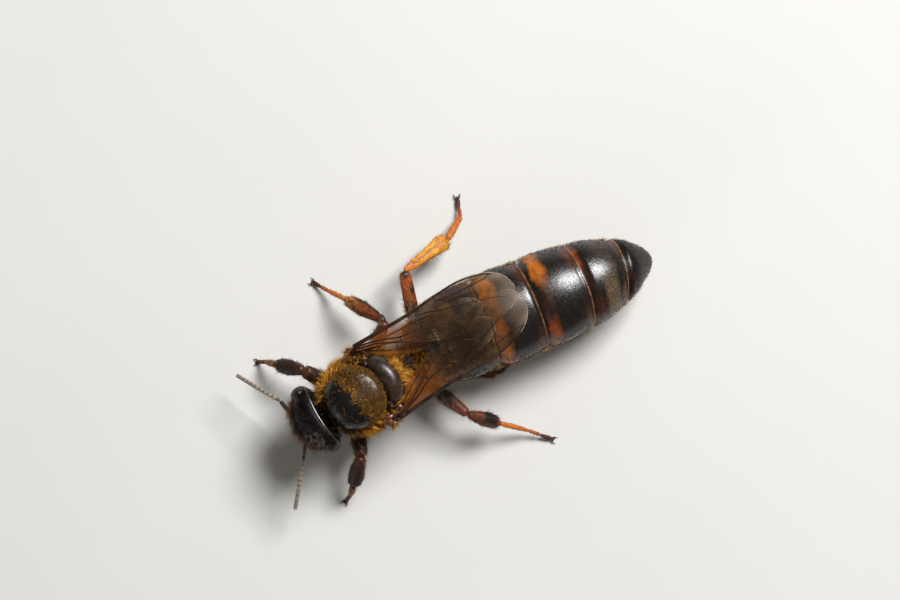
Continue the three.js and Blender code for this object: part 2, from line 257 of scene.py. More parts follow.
def limb(start, end, profile, through=1.0, bow=(0, 0, 0), blunt=0.08):
    """A limb between two joints. profile gives its half-width by share of its length."""
    start, end, bow = (np.asarray(p, float) for p in (start, end, bow))
    axis = unit(end - start)
    across = unit(np.cross([0, 0, 1], axis))
    upright = np.cross(axis, across)
    widths = smooth_line(profile)

    def at(u, v):
        radius = (np.interp(u, *widths.T) * round_ends(u, blunt))[..., None]
        turn = 2 * np.pi * v[..., None]
        middle = start + (end - start) * u[..., None] + bow * np.sin(np.pi * u)[..., None]
        return middle + radius * (np.cos(turn) * across + through * np.sin(turn) * upright)

    return at


def wire(path, radii, sides, rings):
    """Points and faces of a tube along a smooth line through a path, with its radius at both ends."""
    line = smooth_line(path, rings)
    along = unit(np.gradient(line, axis=0))
    across = unit(np.cross(along, [0.05, 0.03, 1.0]))
    other = np.cross(along, across)
    turn = 2 * np.pi * np.arange(sides) / sides
    radius = np.linspace(*radii, rings)[:, None, None]
    ring = np.cos(turn)[:, None] * across[:, None] + np.sin(turn)[:, None] * other[:, None]
    points = np.vstack([(line[:, None] + radius * ring).reshape(-1, 3), line[:1], line[-1:]])
    return points, tube_faces(rings, sides)


# ---- hair ----

HAIR_SIDES = 3
TUFT_PATCH = 0.003  # size of a tuft's patch in the OFBake map
LEAST_TRIED = 20000  # places that tufts are picked from
SIZE_SPAN = (0.6, 1.35)  # of a tuft against its coat
REACH_SPAN = (0.75, 1.15)  # of a hair against its tuft
LEAST_RISE = 0.12  # of a tuft from the skin
MEETING = 1.15  # where a tuft's hairs meet, and how far each strays from there, as shares of its length
STRAY = 0.09
LAST_RING = 0.78  # where a hair's last ring lies, as a share of its length
TAPER = 0.7  # how much of its thickness a hair would lose by its tip


FINE = {"hairs": 2, "clump": 0.03, "rings": 2}  # the settings of a short fine coat


def grow_hair(
    name, at, tufts, look, *, length, thick, lie, seed, lift=0.5, hairs=4, keep=None, curl=0.3, sway=0.25,
    clump=0.045, rings=3,
):
    """Grows tufts of solid hairs on the form at(u, v), as one piece.

    lie is the way the coat lies, lift is how far it stands up, and keep(points) thins it out or
    leaves it off, with numbers from 0 to 1. length and thick are of a middling hair, and clump is how
    far apart the hairs of a tuft are rooted. They meet near the tip.
    """
    rng = np.random.default_rng(seed)
    u, v = rng.random((2, max(tufts * 8, LEAST_TRIED)))
    step = 1e-3
    places = at(u, v)
    normal = np.cross(at(u + step, v) - places, at(u, v + step) - places)
    if (normal * (places - places.mean(0))).sum() < 0:
        normal = -normal
    weight = np.linalg.norm(normal, axis=1)
    if keep is not None:
        weight = weight * keep(places)
    chosen = rng.choice(len(u), tufts, replace=False, p=weight / weight.sum())
    middle = places[chosen]
    normal = unit(normal[chosen])
    flow = lie(middle) if callable(lie) else np.broadcast_to(np.asarray(lie, float), middle.shape)
    flow = unit(flow - (flow * normal).sum(1, keepdims=True) * normal)
    heading = unit(normal * lift + flow * (1 - lift) + rng.normal(0, sway, middle.shape))
    heading = unit(heading + normal * np.clip(LEAST_RISE - (heading * normal).sum(1, keepdims=True), 0, 1))
    size = length * rng.uniform(*SIZE_SPAN, (tufts, 1))

    middle, normal, flow, heading, size = (
        np.repeat(kept, hairs, 0) for kept in (middle, normal, flow, heading, size)
    )
    total = tufts * hairs
    across = unit(np.cross(normal, flow))
    scatter = rng.normal(0, clump, (2, total, 1))
    root = middle + scatter[0] * across + scatter[1] * flow - normal * thick
    reach = size * rng.uniform(*REACH_SPAN, (total, 1))
    meeting = middle + heading * size * MEETING + rng.normal(0, STRAY, (total, 3)) * size
    heading = unit(meeting - root)
    side = unit(np.cross(heading, normal + 0.01))
    other = np.cross(side, heading)
    bend = (flow - 0.4 * normal) * curl
    shares = np.linspace(0, LAST_RING, rings)
    cloud = []
    for share in shares:
        spine = root + reach * (heading * share + bend * share**2)
        radius = thick / 2 * (1 - TAPER * share)
        for turn in 2 * np.pi * np.arange(HAIR_SIDES) / HAIR_SIDES:
            cloud.append(spine + radius * (math.cos(turn) * side + math.sin(turn) * other))
    cloud.append(root + reach * (heading + bend))

    per_hair = len(cloud)
    first = np.arange(total)[:, None, None] * per_hair
    last = (rings - 1) * HAIR_SIDES
    j = np.arange(HAIR_SIDES)
    tips = np.stack([last + j, last + (j + 1) % HAIR_SIDES, np.full(HAIR_SIDES, per_hair - 1)], -1)
    ends = np.vstack([tips, j[::-1]])
    solid = Solid("tip", "tone")
    solid.points.append(np.stack(cloud, 1).reshape(-1, 3))
    parts = (quads(rings, HAIR_SIDES, True), ends)
    solid.faces = [(first + part).reshape(-1, part.shape[1]) for part in parts]
    tip_share = np.r_[np.repeat(shares, HAIR_SIDES), 1]
    tone = 0.65 * np.repeat(rng.random(tufts), hairs) + 0.35 * rng.random(total)
    solid.values["tip"].append(np.tile(tip_share, total))
    solid.values["tone"].append(np.repeat(tone, per_hair))
    spots = np.repeat(np.stack([u[chosen], v[chosen]], -1), hairs, 0)
    patch = np.stack([np.r_[np.tile([0, 1, 0.5], rings), 0.5], tip_share], -1) - 0.5
    uv = (spots[:, None] * (1 - TUFT_PATCH) + TUFT_PATCH / 2 + patch[None] * TUFT_PATCH).reshape(-1, 2)
    make_piece(name, solid, look, uv=uv)


# ---- looks ----


class Look:
    """A procedural material under way: a Principled shader and the nodes that feed it."""

    def __init__(self, name, **sockets):
        self.material = bpy.data.materials.new(name)
        self.material.use_nodes = True
        self.tree = self.material.node_tree
        self.shader = self.tree.nodes["Principled BSDF"]
        for key, value in sockets.items():
            self.set(key, value)

    def set(self, key, value):
        socket = self.shader.inputs[key.replace("_", " ")]
        if isinstance(value, bpy.types.NodeSocket):
            self.tree.links.new(value, socket)
        elif isinstance(value, tuple):
            socket.default_value = (*value, 1.0)
        else:
            socket.default_value = value

    def paint(self, color):
        self.set("Base_Color", color)

    def node(self, kind, inputs, output=0, **settings):
        """Adds a node with inputs and settings, and gives back one of its outputs."""
        node = self.tree.nodes.new(kind)
        for key, value in settings.items():
            setattr(node, key, value)
        for key, value in inputs.items():
            if isinstance(value, bpy.types.NodeSocket):
                self.tree.links.new(value, node.inputs[key])
            elif isinstance(value, tuple) and len(value) == 3 and node.inputs[key].type == "RGBA":
                node.inputs[key].default_value = (*value, 1.0)
            else:
                node.inputs[key].default_value = value
        return node.outputs[output]

    def place(self):
        return self.node("ShaderNodeTexCoord", {}, "Object")

    def noise(self, grain, detail=3.0):
        """Cloudy noise with a grain of that many millimetres."""
        inputs = {"Vector": self.place(), "Scale": 1 / (grain * MM), "Detail": detail, "Roughness": 0.55}
        return self.node("ShaderNodeTexNoise", inputs)

    def cells(self, grain):
        """Round cells, that many millimetres apart."""
        return self.node("ShaderNodeTexVoronoi", {"Vector": self.place(), "Scale": 1 / (grain * MM)})

    def value(self, name):
        return self.node("ShaderNodeAttribute", {}, "Fac", attribute_name=name)

    def math(self, operation, a, b=0.0, clamp=False):
        return self.node("ShaderNodeMath", {0: a, 1: b}, operation=operation, use_clamp=clamp)

    def plus(self, first, *others):
        for other in others:
            first = self.math("ADD", first, other)
        return first

    def times(self, first, *others):
        for other in others:
            first = self.math("MULTIPLY", first, other)
        return first

    def spread(self, x, low, high, to_low=0.0, to_high=1.0):
        """Maps low..high smoothly to to_low..to_high."""
        inputs = {0: x, 1: low, 2: high, 3: to_low, 4: to_high}
        return self.node("ShaderNodeMapRange", inputs, interpolation_type="SMOOTHSTEP")

    def clouds(self, grain, low, high, to_low=0.0, to_high=1.0, detail=3.0):
        """Cloudy noise, mapped as spread() does."""
        return self.spread(self.noise(grain, detail), low, high, to_low, to_high)

    def wander(self, grain, reach, detail=3.0):
        """Cloudy noise that strays to both sides of 0, over reach in all."""
        return self.times(self.math("SUBTRACT", self.noise(grain, detail), 0.5), reach)

    def shade(self, grain, dark, light, low=0.35, high=0.7, detail=3.0):
        """A colour that drifts between two in cloudy patches."""
        return self.mix(self.clouds(grain, low, high, detail=detail), dark, light)

    def drift_roughness(self, grain, low, high):
        """Lets the roughness drift between two values in cloudy patches."""
        self.set("Roughness", self.clouds(grain, 0.3, 0.7, low, high))

    def band(self, x, low, high, soft):
        """1 between low and high and 0 outside them, over soft edges."""
        rise = self.spread(x, low - soft, low + soft)
        return self.times(rise, self.spread(x, high - soft, high + soft, 1.0, 0.0))

    def mix(self, share, a, b):
        return self.node("ShaderNodeMix", {0: share, 6: a, 7: b}, 2, data_type="RGBA")

    def ramp(self, x, stops):
        node = self.tree.nodes.new("ShaderNodeValToRGB")
        self.tree.links.new(x, node.inputs[0])
        marks = node.color_ramp.elements
        while len(marks) < len(stops):
            marks.new(0.5)
        for mark, (at, color) in zip(marks, stops):
            mark.position = at
            mark.color = (*color, 1.0)
        return node.outputs[0]

    def bump(self, height, depth, strength):
        """Raises the surface by up to depth millimetres where height is 1."""
        inputs = {"Height": height, "Distance": depth * MM, "Strength": strength}
        earlier = self.shader.inputs["Normal"].links
        if earlier:
            inputs["Normal"] = earlier[0].from_socket
        self.set("Normal", self.node("ShaderNodeBump", inputs))

    def ripples(self, grain, depth, strength):
        self.bump(self.noise(grain), depth, strength)

    def pits(self, grain, depth, strength):
        self.bump(self.cells(grain), depth, strength)


BLACK = (0.006, 0.004, 0.0035)
DARK_BROWN = (0.022, 0.01, 0.006)
RED_BROWN = (0.15, 0.028, 0.007)
DEEP_RED = (0.075, 0.014, 0.006)
ORANGE = (0.41, 0.115, 0.007)
DARK_ORANGE = (0.28, 0.055, 0.009)
TAN = (0.26, 0.11, 0.04)
AMBER = (0.5, 0.18, 0.02)
# near-black of the hairless front of the back, deepened as painted shade where that slope faces away from
# the light
BARE_SHADE_BLACK = (0.0022, 0.0015, 0.0015)
FELT = (0.21, 0.14, 0.075)  # the short pale hairs behind a band
PLATE_FRONT = (0.1, 0.026, 0.012)  # where a plate comes out from under the one in front
PLATE_RIM = (0.085, 0.024, 0.009)  # in front of a plate's clear edge


def shell_look(name, dark, light, roughness, grain=0.5, pits=0.035, gloss=0.55):
    """Shiny dark shell, clouded between two colours, with fine pits."""
    look = Look(name, Specular_IOR_Level=gloss)
    look.paint(look.shade(grain, dark, light))
    look.drift_roughness(grain / 3, roughness * 0.75, roughness * 1.3)
    look.pits(pits, 0.006, 0.5)
    look.ripples(0.16, 0.012, 0.5)
    return look.material


def hair_look(name, root, tip, dull):
    """Hair painted darker at the root as shade within the coat and lighter at the tip as highlight, with
    some duller tufts.
    """
    look = Look(name, Roughness=0.42, Specular_IOR_Level=0.22)
    shade = look.mix(look.spread(look.value("tip"), 0.0, 0.9), root, tip)
    look.paint(look.mix(look.spread(look.value("tone"), 0.15, 0.85), shade, dull))
    return look.material


def back_look():
    """The back: black and hairless in front, its black deepened there as painted shade of the slope facing
    away from the light, olive brown behind under its short down.
    """
    look = Look("back_plate", Specular_IOR_Level=0.4)
    bald = look.plus(look.value("bald"), look.wander(0.07, 1.0, 4.0))
    grain = look.shade(0.06, (0.016, 0.0075, 0.002), (0.085, 0.038, 0.007), 0.35, 0.65)
    look.paint(look.mix(look.spread(bald, 0.38, 0.6), grain, BARE_SHADE_BLACK))
    look.drift_roughness(0.09, 0.28, 0.4)
    look.pits(0.04, 0.003, 0.5)
    look.bump(look.noise(0.5, 1.0), 0.006, 0.3)
    return look.material


def band_look(name, left, right, band_left, band_right, rear, middle, felt, gloss):
    """A back plate of the abdomen: dark in front, a coloured band, black shell, a thin clear rear edge.

    left and right are the colours at the bee's sides, and the bands are their (start, end) as shares of
    the plate's length. middle is how much of the band shows along the middle of the back, and felt is
    how thick the short pale hairs behind it are.
    """
    look = Look(name, Specular_IOR_Level=gloss)
    side = look.spread(look.value("side"), 0.38, 0.66)
    share = look.plus(look.value("share"), look.wander(0.5, 0.17, 4.0))
    start = look.spread(side, 0.0, 1.0, band_right[0], band_left[0])
    end = look.spread(side, 0.0, 1.0, band_right[1], band_left[1])
    rise = look.math("MULTIPLY", look.math("SUBTRACT", share, start), 16.0, clamp=True)
    fall = look.math("MULTIPLY", look.math("SUBTRACT", end, share), 9.0, clamp=True)
    off_middle = look.math("ABSOLUTE", look.math("SUBTRACT", look.value("side"), 0.52))
    dim = look.spread(off_middle, 0.05, 0.2, middle, 1.0)
    blotch = look.clouds(0.4, 0.3, 0.6, 0.55, 1.0, detail=2.0)
    band = look.times(rise, fall, dim, blotch)
    shell = look.shade(0.3, BLACK, DARK_BROWN, 0.45, 0.8, 4.0)
    shell = look.mix(look.spread(share, 0.08, 0.14, 0.75, 0.0), shell, PLATE_FRONT)
    color = look.mix(band, shell, look.mix(side, right, left))
    if felt:
        shown = look.times(look.spread(share, 0.42, 0.56), look.spread(share, 0.72, 0.84, 1.0, 0.0))
        grain = look.clouds(0.05, 0.42, 0.6, 0.1, felt, detail=2.0)
        color = look.mix(look.times(shown, grain, look.spread(side, 0.0, 1.0, 0.25, 1.0)), color, FELT)
    rim = look.times(look.spread(share, 0.8, 0.92, 0.0, 0.8), look.clouds(0.5, 0.3, 0.6, 0.3, 1.0))
    color = look.mix(look.times(rim, look.spread(off_middle, 0.05, 0.25)), color, PLATE_RIM)
    clear = look.spread(look.value("share"), 0.968, 0.986)
    edge = look.times(clear, look.clouds(0.35, 0.35, 0.6, 0.25, 1.0))
    look.paint(look.mix(edge, color, rear))
    look.drift_roughness(0.1, 0.2, 0.36)
    look.pits(0.05, 0.006, 0.5)
    look.ripples(0.3, 0.022, 0.35)
    return look.material


def leg_look(name, stops, marks=(), roughness=0.42, glow=0.12):
    """A leg joint, coloured along its length.

    marks are spots and streaks on it: (start, end) along the joint, (from, to) round it, and a colour.
    glow is how much light passes through its shell.
    """
    look = Look(name, Specular_IOR_Level=0.35)
    wander = look.wander(0.25, 0.22)
    share = look.plus(look.value("share"), wander)
    turn = look.plus(look.value("round"), look.times(wander, 0.4))
    color = look.ramp(share, stops)
    for along, around, mark in marks:
        spot = look.times(look.band(share, *along, 0.07), look.band(turn, *around, 0.05))
        color = look.mix(spot, color, mark)
    look.paint(color)
    look.drift_roughness(0.08, roughness * 0.8, roughness * 1.3)
    look.set("Subsurface_Weight", glow)
    look.set("Subsurface_Scale", 0.0003)
    look.ripples(0.06, 0.012, 0.6)
    return look.material


def jaw_look():
    """Red brown jaws and mouth parts, black at their tips."""
    look = Look("jaw", Specular_IOR_Level=0.55)
    shade = look.shade(0.35, (0.035, 0.01, 0.005), (0.17, 0.042, 0.011))
    tip = look.spread(look.value("share"), 0.6, 0.95)
    look.paint(look.mix(tip, shade, (0.008, 0.005, 0.004)))
    look.drift_roughness(0.1, 0.22, 0.4)
    look.ripples(0.12, 0.014, 0.5)
    return look.material


def feeler_look():
    """Dull feelers with fine down and dark joints, painted pale grey-brown between the joints for the down's
    silvery sheen.
    """
    look = Look("feeler", Roughness=0.42, Specular_IOR_Level=0.6)
    # the pale grey-brown is the fine down's silvery sheen, painted into the colour
    down = look.shade(0.04, (0.11, 0.075, 0.05), (0.42, 0.35, 0.27))
    look.paint(look.mix(look.value("joint"), down, (0.01, 0.006, 0.005)))
    look.ripples(0.03, 0.006, 0.8)
    return look.material


def eye_look():
    """Near-black compound eyes, browner in patches."""
    look = Look("compound_eye", Roughness=0.36, Specular_IOR_Level=0.3)
    look.paint(look.shade(0.5, (0.005, 0.004, 0.004), (0.018, 0.009, 0.006)))
    look.pits(0.03, 0.006, 0.4)
    return look.material


def rim_look():
    """The polished rim behind the top of the head."""
    look = Look("head_rim", Specular_IOR_Level=1.0)
    look.paint(look.shade(0.3, (0.01, 0.009, 0.008), (0.026, 0.022, 0.018)))
    look.drift_roughness(0.2, 0.12, 0.17)
    return look.material


def membrane_look():
    """Smoky wing skin, see-through, amber near the root, clouded along the front edge and painted pale grey
    towards the tip as sheen.
    """
    look = Look("wing_membrane", Specular_IOR_Level=0.7)
    rootward = look.spread(look.value("share"), 0.18, 0.42)
    smoke_and_sheen = look.shade(1.3, (0.04, 0.018, 0.006), (0.12, 0.06, 0.019), 0.45, 0.65)
    # towards the tip the colour turns pale grey and the alpha thickens a little: painted sheen of the
    # membrane
    tip = look.spread(look.value("share"), 0.74, 0.92)
    smoke_and_sheen = look.mix(tip, smoke_and_sheen, (0.3, 0.22, 0.16))
    look.paint(look.mix(rootward, (0.24, 0.064, 0.006), smoke_and_sheen))
    cloud = look.times(look.clouds(0.9, 0.4, 0.7), 0.1)
    edge = look.spread(look.value("side"), 0.04, 0.26, 0.26, 0.0)
    edge = look.times(edge, look.band(look.value("share"), 0.45, 0.9, 0.08))
    thin = look.spread(look.value("share"), 0.15, 0.5, 0.26, 0.11)
    sheen_veil = look.times(tip, 0.05)
    look.set("Alpha", look.plus(cloud, edge, thin, sheen_veil))
    look.drift_roughness(0.1, 0.1, 0.3)
    look.pits(0.07, 0.004, 0.5)
    look.ripples(0.6, 0.03, 0.4)
    look.ripples(0.14, 0.012, 0.5)
    return look.material


def wing_glint_look():
    """A thin pale line round a wing's tip, coloured as a painted glint on its rim."""
    look = Look("wing_glint", Roughness=0.25, Specular_IOR_Level=0.9)
    look.paint(look.shade(0.5, (0.16, 0.1, 0.05), (0.52, 0.42, 0.3), 0.3, 0.7))
    return look.material


def vein_look():
    """Dark red-brown veins, duller than the wing's skin."""
    look = Look("wing_vein", Specular_IOR_Level=0.25)
    look.paint(look.shade(0.8, (0.007, 0.003, 0.002), (0.032, 0.01, 0.004)))
    look.drift_roughness(0.2, 0.35, 0.6)
    look.ripples(0.05, 0.006, 0.6)
    return look.material


def floor_look():
    """The plain pale floor."""
    look = Look("floor", Roughness=0.8)
    look.paint(look.mix(look.noise(18.0), (0.6, 0.59, 0.565), (0.64, 0.63, 0.605)))
    return look.material


SHELL = shell_look("body_shell", BLACK, DARK_BROWN, 0.5, gloss=0.25)
FACE = shell_look("face_shell", (0.0025, 0.0018, 0.0018), (0.006, 0.004, 0.0035), 0.3, 0.4, 0.05, 0.16)
RIM = rim_look()
BACK = back_look()
REAR_BACK = shell_look("scutellum_shell", (0.008, 0.004, 0.003), (0.04, 0.018, 0.008), 0.38, 0.3, 0.06, 0.65)
SOCKET = shell_look("wing_socket", (0.035, 0.009, 0.007), (0.13, 0.036, 0.024), 0.28, 0.3, 0.03)
JAW = jaw_look()
BELLY = shell_look("belly_plate", (0.03, 0.01, 0.005), (0.12, 0.036, 0.011), 0.33, 0.5, 0.04)
JOINT_SKIN = shell_look("joint_skin", (0.14, 0.06, 0.02), (0.26, 0.13, 0.05), 0.5, 0.3, 0.03)
EYE = eye_look()
FEELER = feeler_look()
WING = membrane_look()
VEIN = vein_look()
WING_GLINT = wing_glint_look()
CLAW = shell_look("claw_shell", (0.02, 0.008, 0.004), (0.07, 0.024, 0.008), 0.3, 0.2, 0.03)

# each coat: a root colour that holds painted shade, a tip colour that holds painted highlight, and a duller
# colour
GOLD_HAIR = hair_look("hair_golden", (0.3, 0.097, 0.007), (1.0, 0.5, 0.05), (0.22, 0.082, 0.009))
DOWN_HAIR = hair_look("hair_down", (0.03, 0.013, 0.003), (0.37, 0.165, 0.022), (0.04, 0.018, 0.004))
BROWN_HAIR = hair_look("hair_brown", (0.02, 0.008, 0.004), (0.15, 0.06, 0.024), (0.012, 0.006, 0.004))
DARK_HAIR = hair_look("hair_dark", (0.004, 0.003, 0.0025), (0.024, 0.014, 0.009), (0.005, 0.0035, 0.003))
TIPPED_HAIR = hair_look("hair_tipped", (0.006, 0.004, 0.0035), (0.36, 0.29, 0.21), (0.016, 0.01, 0.008))
FACE_HAIR = hair_look("hair_face", (0.1, 0.034, 0.014), (0.46, 0.22, 0.085), (0.085, 0.034, 0.018))
PALE_HAIR = hair_look("hair_pale", (0.2, 0.11, 0.045), (0.66, 0.52, 0.32), (0.22, 0.12, 0.05))

# ---- thorax ----

THORAX_AXIS = smooth_line(
    [(-0.1, -2.55, 3.75), (0, -1.4, 3.75), (0, 0.6, 3.75), (-0.12, 2.0, 3.85), (-0.16, 3.15, 3.85)]
)
THORAX_LUMPS = [
    ((-0.07, -2.0, 3.75), (0.4, 0.75, 0.4)),  # neck
    ((0, -1.3, 3.8), (1.2, 0.55, 1.05)),  # collar
    ((0, -0.25, 3.55), (1.74, 1.55, 1.45)),  # the main ring
    ((0, -0.4, 4.15), (1.6, 1.5, 1.2)),  # its shoulders
    ((0, -0.4, 2.75), (1.15, 1.2, 0.75)),  # breast
    ((1.22, 0.85, 4.3), (0.62, 0.62, 0.62)),  # below the left wings
    ((-1.22, 0.85, 4.3), (0.62, 0.62, 0.62)),  # below the right wings
    ((-0.05, 1.4, 3.65), (1.3, 0.85, 1.12)),  # the rear slope
    ((-0.14, 2.5, 3.85), (0.34, 0.85, 0.36)),  # waist
]
LUMP_BLEND = 9.0  # higher keeps the lumps more apart
FARTHEST_SKIN = 2.6  # farther from the axis than any of the skin
SKIN_HALVINGS = 22


def blend_field(points):
    """Over 0 inside the thorax, whose rounded lumps melt into each other, and under 0 outside."""
    total = 0.0
    for centre, radii in THORAX_LUMPS:
        away = np.linalg.norm((points - np.asarray(centre)) / np.asarray(radii), axis=-1)
        total = total + np.exp(LUMP_BLEND * (1 - away))
    return np.log(total)


def thorax_reach(middle, directions):
    """How far the thorax reaches from its axis in each direction, by halving."""
    near = np.zeros(directions.shape[:-1])
    far = np.full(directions.shape[:-1], FARTHEST_SKIN)
    for _ in range(SKIN_HALVINGS):
        half = (near + far) / 2
        inside = blend_field(middle + directions * half[..., None]) > 0
        near = np.where(inside, half, near)
        far = np.where(inside, far, half)
    return near


def thorax_at(u, v):
    """The thorax's skin, from the neck to the waist, with v going round from its left side."""
    middle = follow(THORAX_AXIS, u)
    directions = np.stack([np.cos(2 * np.pi * v), 0 * v, np.sin(2 * np.pi * v)], -1)
    points = middle + directions * thorax_reach(middle, directions)[..., None]
    x, y, z = xyz(points)
    seams = 0.07 * ridge(y + 1.28 + 0.25 * (z - 3.8), 0.07)  # behind the collar
    seams = seams + 0.06 * ridge(y - 0.62 - 0.22 * (3.8 - z), 0.06) * step_up(-z, -4.9, -4.3)  # on the side
    seams = seams + 0.05 * ridge(y - 1.08 + 0.15 * (3.8 - z), 0.05) * step_up(-z, -5.0, -4.4)  # behind that
    seams = seams + 0.05 * ridge(z - 2.75 + 0.1 * y, 0.06) * step_up(np.abs(x), 0.6, 1.0)  # above the breast
    return points - directions * seams[..., None]


def dome_at(form):
    """A dome from its top down to "reach_down" degrees, with v going round from the bee's left side.

    Its "square" is over 1 for a flatter top, "rear_square" is added to that behind, "tilt" raises the
    rear of the top and "crown" arches it again.
    """

    def at(u, v):
        fall = np.radians(form["reach_down"]) * u
        around = 2 * np.pi * v
        square = form["square"] + form["rear_square"] * np.clip(np.sin(around), 0, 1)
        out = np.sin(fall) ** (1 / square)
        up = np.sign(np.cos(fall)) * np.abs(np.cos(fall)) ** (1 / square)
        points = np.stack([out * np.cos(around), out * np.sin(around), up], -1) * form["radii"]
        points[..., 2] += form["tilt"] * points[..., 1] * np.clip(up, 0, 1)
        points[..., 2] -= form["crown"] * (points[..., 0] ** 2 + points[..., 1] ** 2) * np.clip(up, 0, 1)
        return form["centre"] + points

    return at


SCUTUM_DOME = {
    **SCUTUM,
    "reach_down": 104, "square": 1.8, "rear_square": 2.6, "tilt": 0.0, "crown": 0.072,
}
SCUTELLUM_DOME = {
    "centre": np.array([-0.03, 1.46, 4.7]), "radii": np.array([1.36, 0.68, 0.98]),
    "reach_down": 112, "square": 1.2, "rear_square": 0.0, "tilt": 0.1, "crown": 0.0,
}


def scutum_at(u, v):
    """The front back plate: a round dome with faint lines along it and a flat rim behind."""
    points = dome_at(SCUTUM_DOME)(u, v)
    x, y, z = xyz(points)
    top = step_up(z, 4.8, 5.3)
    lines = 0.022 * ridge(np.abs(x) - 0.72 - 0.05 * y, 0.045) * step_up(y, -0.9, -0.2)
    lines = lines + 0.018 * ridge(x, 0.04) * step_up(-y, 0.4, 1.2)
    rim = 0.015 * ridge(np.hypot(x / 1.5, (y + 0.5) / 1.5) - 0.93, 0.035) * step_up(y, 0.0, 0.5)
    points[..., 2] -= (lines + rim) * top
    return points


def scutellum_at(u, v):
    """The rear back plate: a low dome, bent back at its sides."""
    points = dome_at(SCUTELLUM_DOME)(u, v)
    points[..., 1] -= 0.27 * (points[..., 0] / SCUTELLUM_DOME["radii"][0]) ** 2
    return points


def bald_share(points):
    """1 where the back is hairless and black, with painted shade in that black, 0 where short down covers
    it.
    """
    x, y, _ = xyz(points)
    ragged = 0.1 * np.sin(8 * x + 3 * y) + 0.07 * np.sin(17 * x - 11 * y)
    edge = -0.42 - 0.14 * x**2 + 0.17 * x - y + ragged
    return step_up(edge, -0.28, 0.28)


# The cap over the wings' root and the small plates beside it: centre, radii, lean on the left side.
WING_BASE_PLATES = {
    "cap": ((1.82, 0.44, 4.84), (0.26, 0.34, 0.14), 24),
    "middle": ((1.88, 0.86, 5.0), (0.2, 0.2, 0.09), 16),
    "rear": ((1.66, 1.16, 4.9), (0.26, 0.24, 0.08), 12),
    "arm": ((2.12, 0.5, 5.06), (0.17, 0.22, 0.13), 10),
}
# What joins the wings to the back: where it starts, its wing, where it ends along and across that, radii.
WING_HINGES = [
    ((1.86, 0.62, 4.86), "forewing", 0.3, 0.09, 0.13, 0.08),
    ((1.74, 1.0, 4.9), "forewing", 0.36, 0.22, 0.09, 0.05),
    ((1.45, 1.4, 4.5), "hindwing", 0.34, 0.14, 0.11, 0.06),
]


def wing_base_at(name, side):
    """One of the small plates at a wing's root, as a form at(u, v)."""
    (x, y, z), radii, lean = WING_BASE_PLATES[name]
    return lump((side * x, y, z), radii, rotation(side * lean, "Y"))


def build_thorax():
    skin = Solid().add_tube(thorax_at, 150, 150)
    under_skin = ["neck", "pronotum", "thorax_sides", "propodeum", "petiole"]
    make_piece("body_skin", skin, SHELL, under_skin)

    points, faces, _, _ = tube(scutum_at, 70, 110)
    # the mask of the hairless front, which also sets its painted shade
    dome = Solid("bald").add(points, faces, bald=bald_share(points))
    make_piece("back_plate", dome, BACK, ["mesoscutum"])
    rear = Solid().add_tube(scutellum_at, 50, 90)
    make_piece("scutellum_plate", rear, REAR_BACK, ["scutellum"])

    axillae = Solid()
    for side, _ in SIDES:
        turn = rotation(-side * 34, "Z")
        axillae.add_tube(lump((side * 1.12, 0.92, 4.86), (0.44, 0.26, 0.3), turn), 20, 24)
    axillae.add_tube(lump((0, 1.72, 4.35), (1.15, 0.42, 0.3)), 22, 26)
    make_piece("back_rim", axillae, SHELL)

    for side, name in SIDES:
        joint = Solid()
        for plate_name in WING_BASE_PLATES:
            joint.add_tube(wing_base_at(plate_name, side), 24, 28)
        for start, wing, along, across, thick, thin in WING_HINGES:
            begin = np.array([side * start[0], start[1], start[2]])
            hinge, end = (wing_place(f"{wing}_{name}", np.array(a), np.array(across)) for a in (0.0, along))
            sunk = (begin + 3 * hinge) / 4 - np.array([0, 0, 0.06])
            joint.add_wire([begin, sunk, end], (thick, thin), 12, 24)
        make_piece(f"wing_base_{name}", joint, SOCKET, [f"tegula_{name}"])


def backwards(points):
    """Hair lies to the rear and a little outwards, but the collar's points out and forwards."""
    collar = step_up(-points[..., 1], 0.7, 1.3)[..., None]
    side = np.sign(points[..., :1])
    outwards = np.concatenate([side, -0.5 + 0 * side, 0.5 + 0 * side], -1)
    return (1 - collar) * (np.array([0.0, 1.0, -0.1]) + 0.3 * side * np.array([1, 0, 0])) + collar * outwards


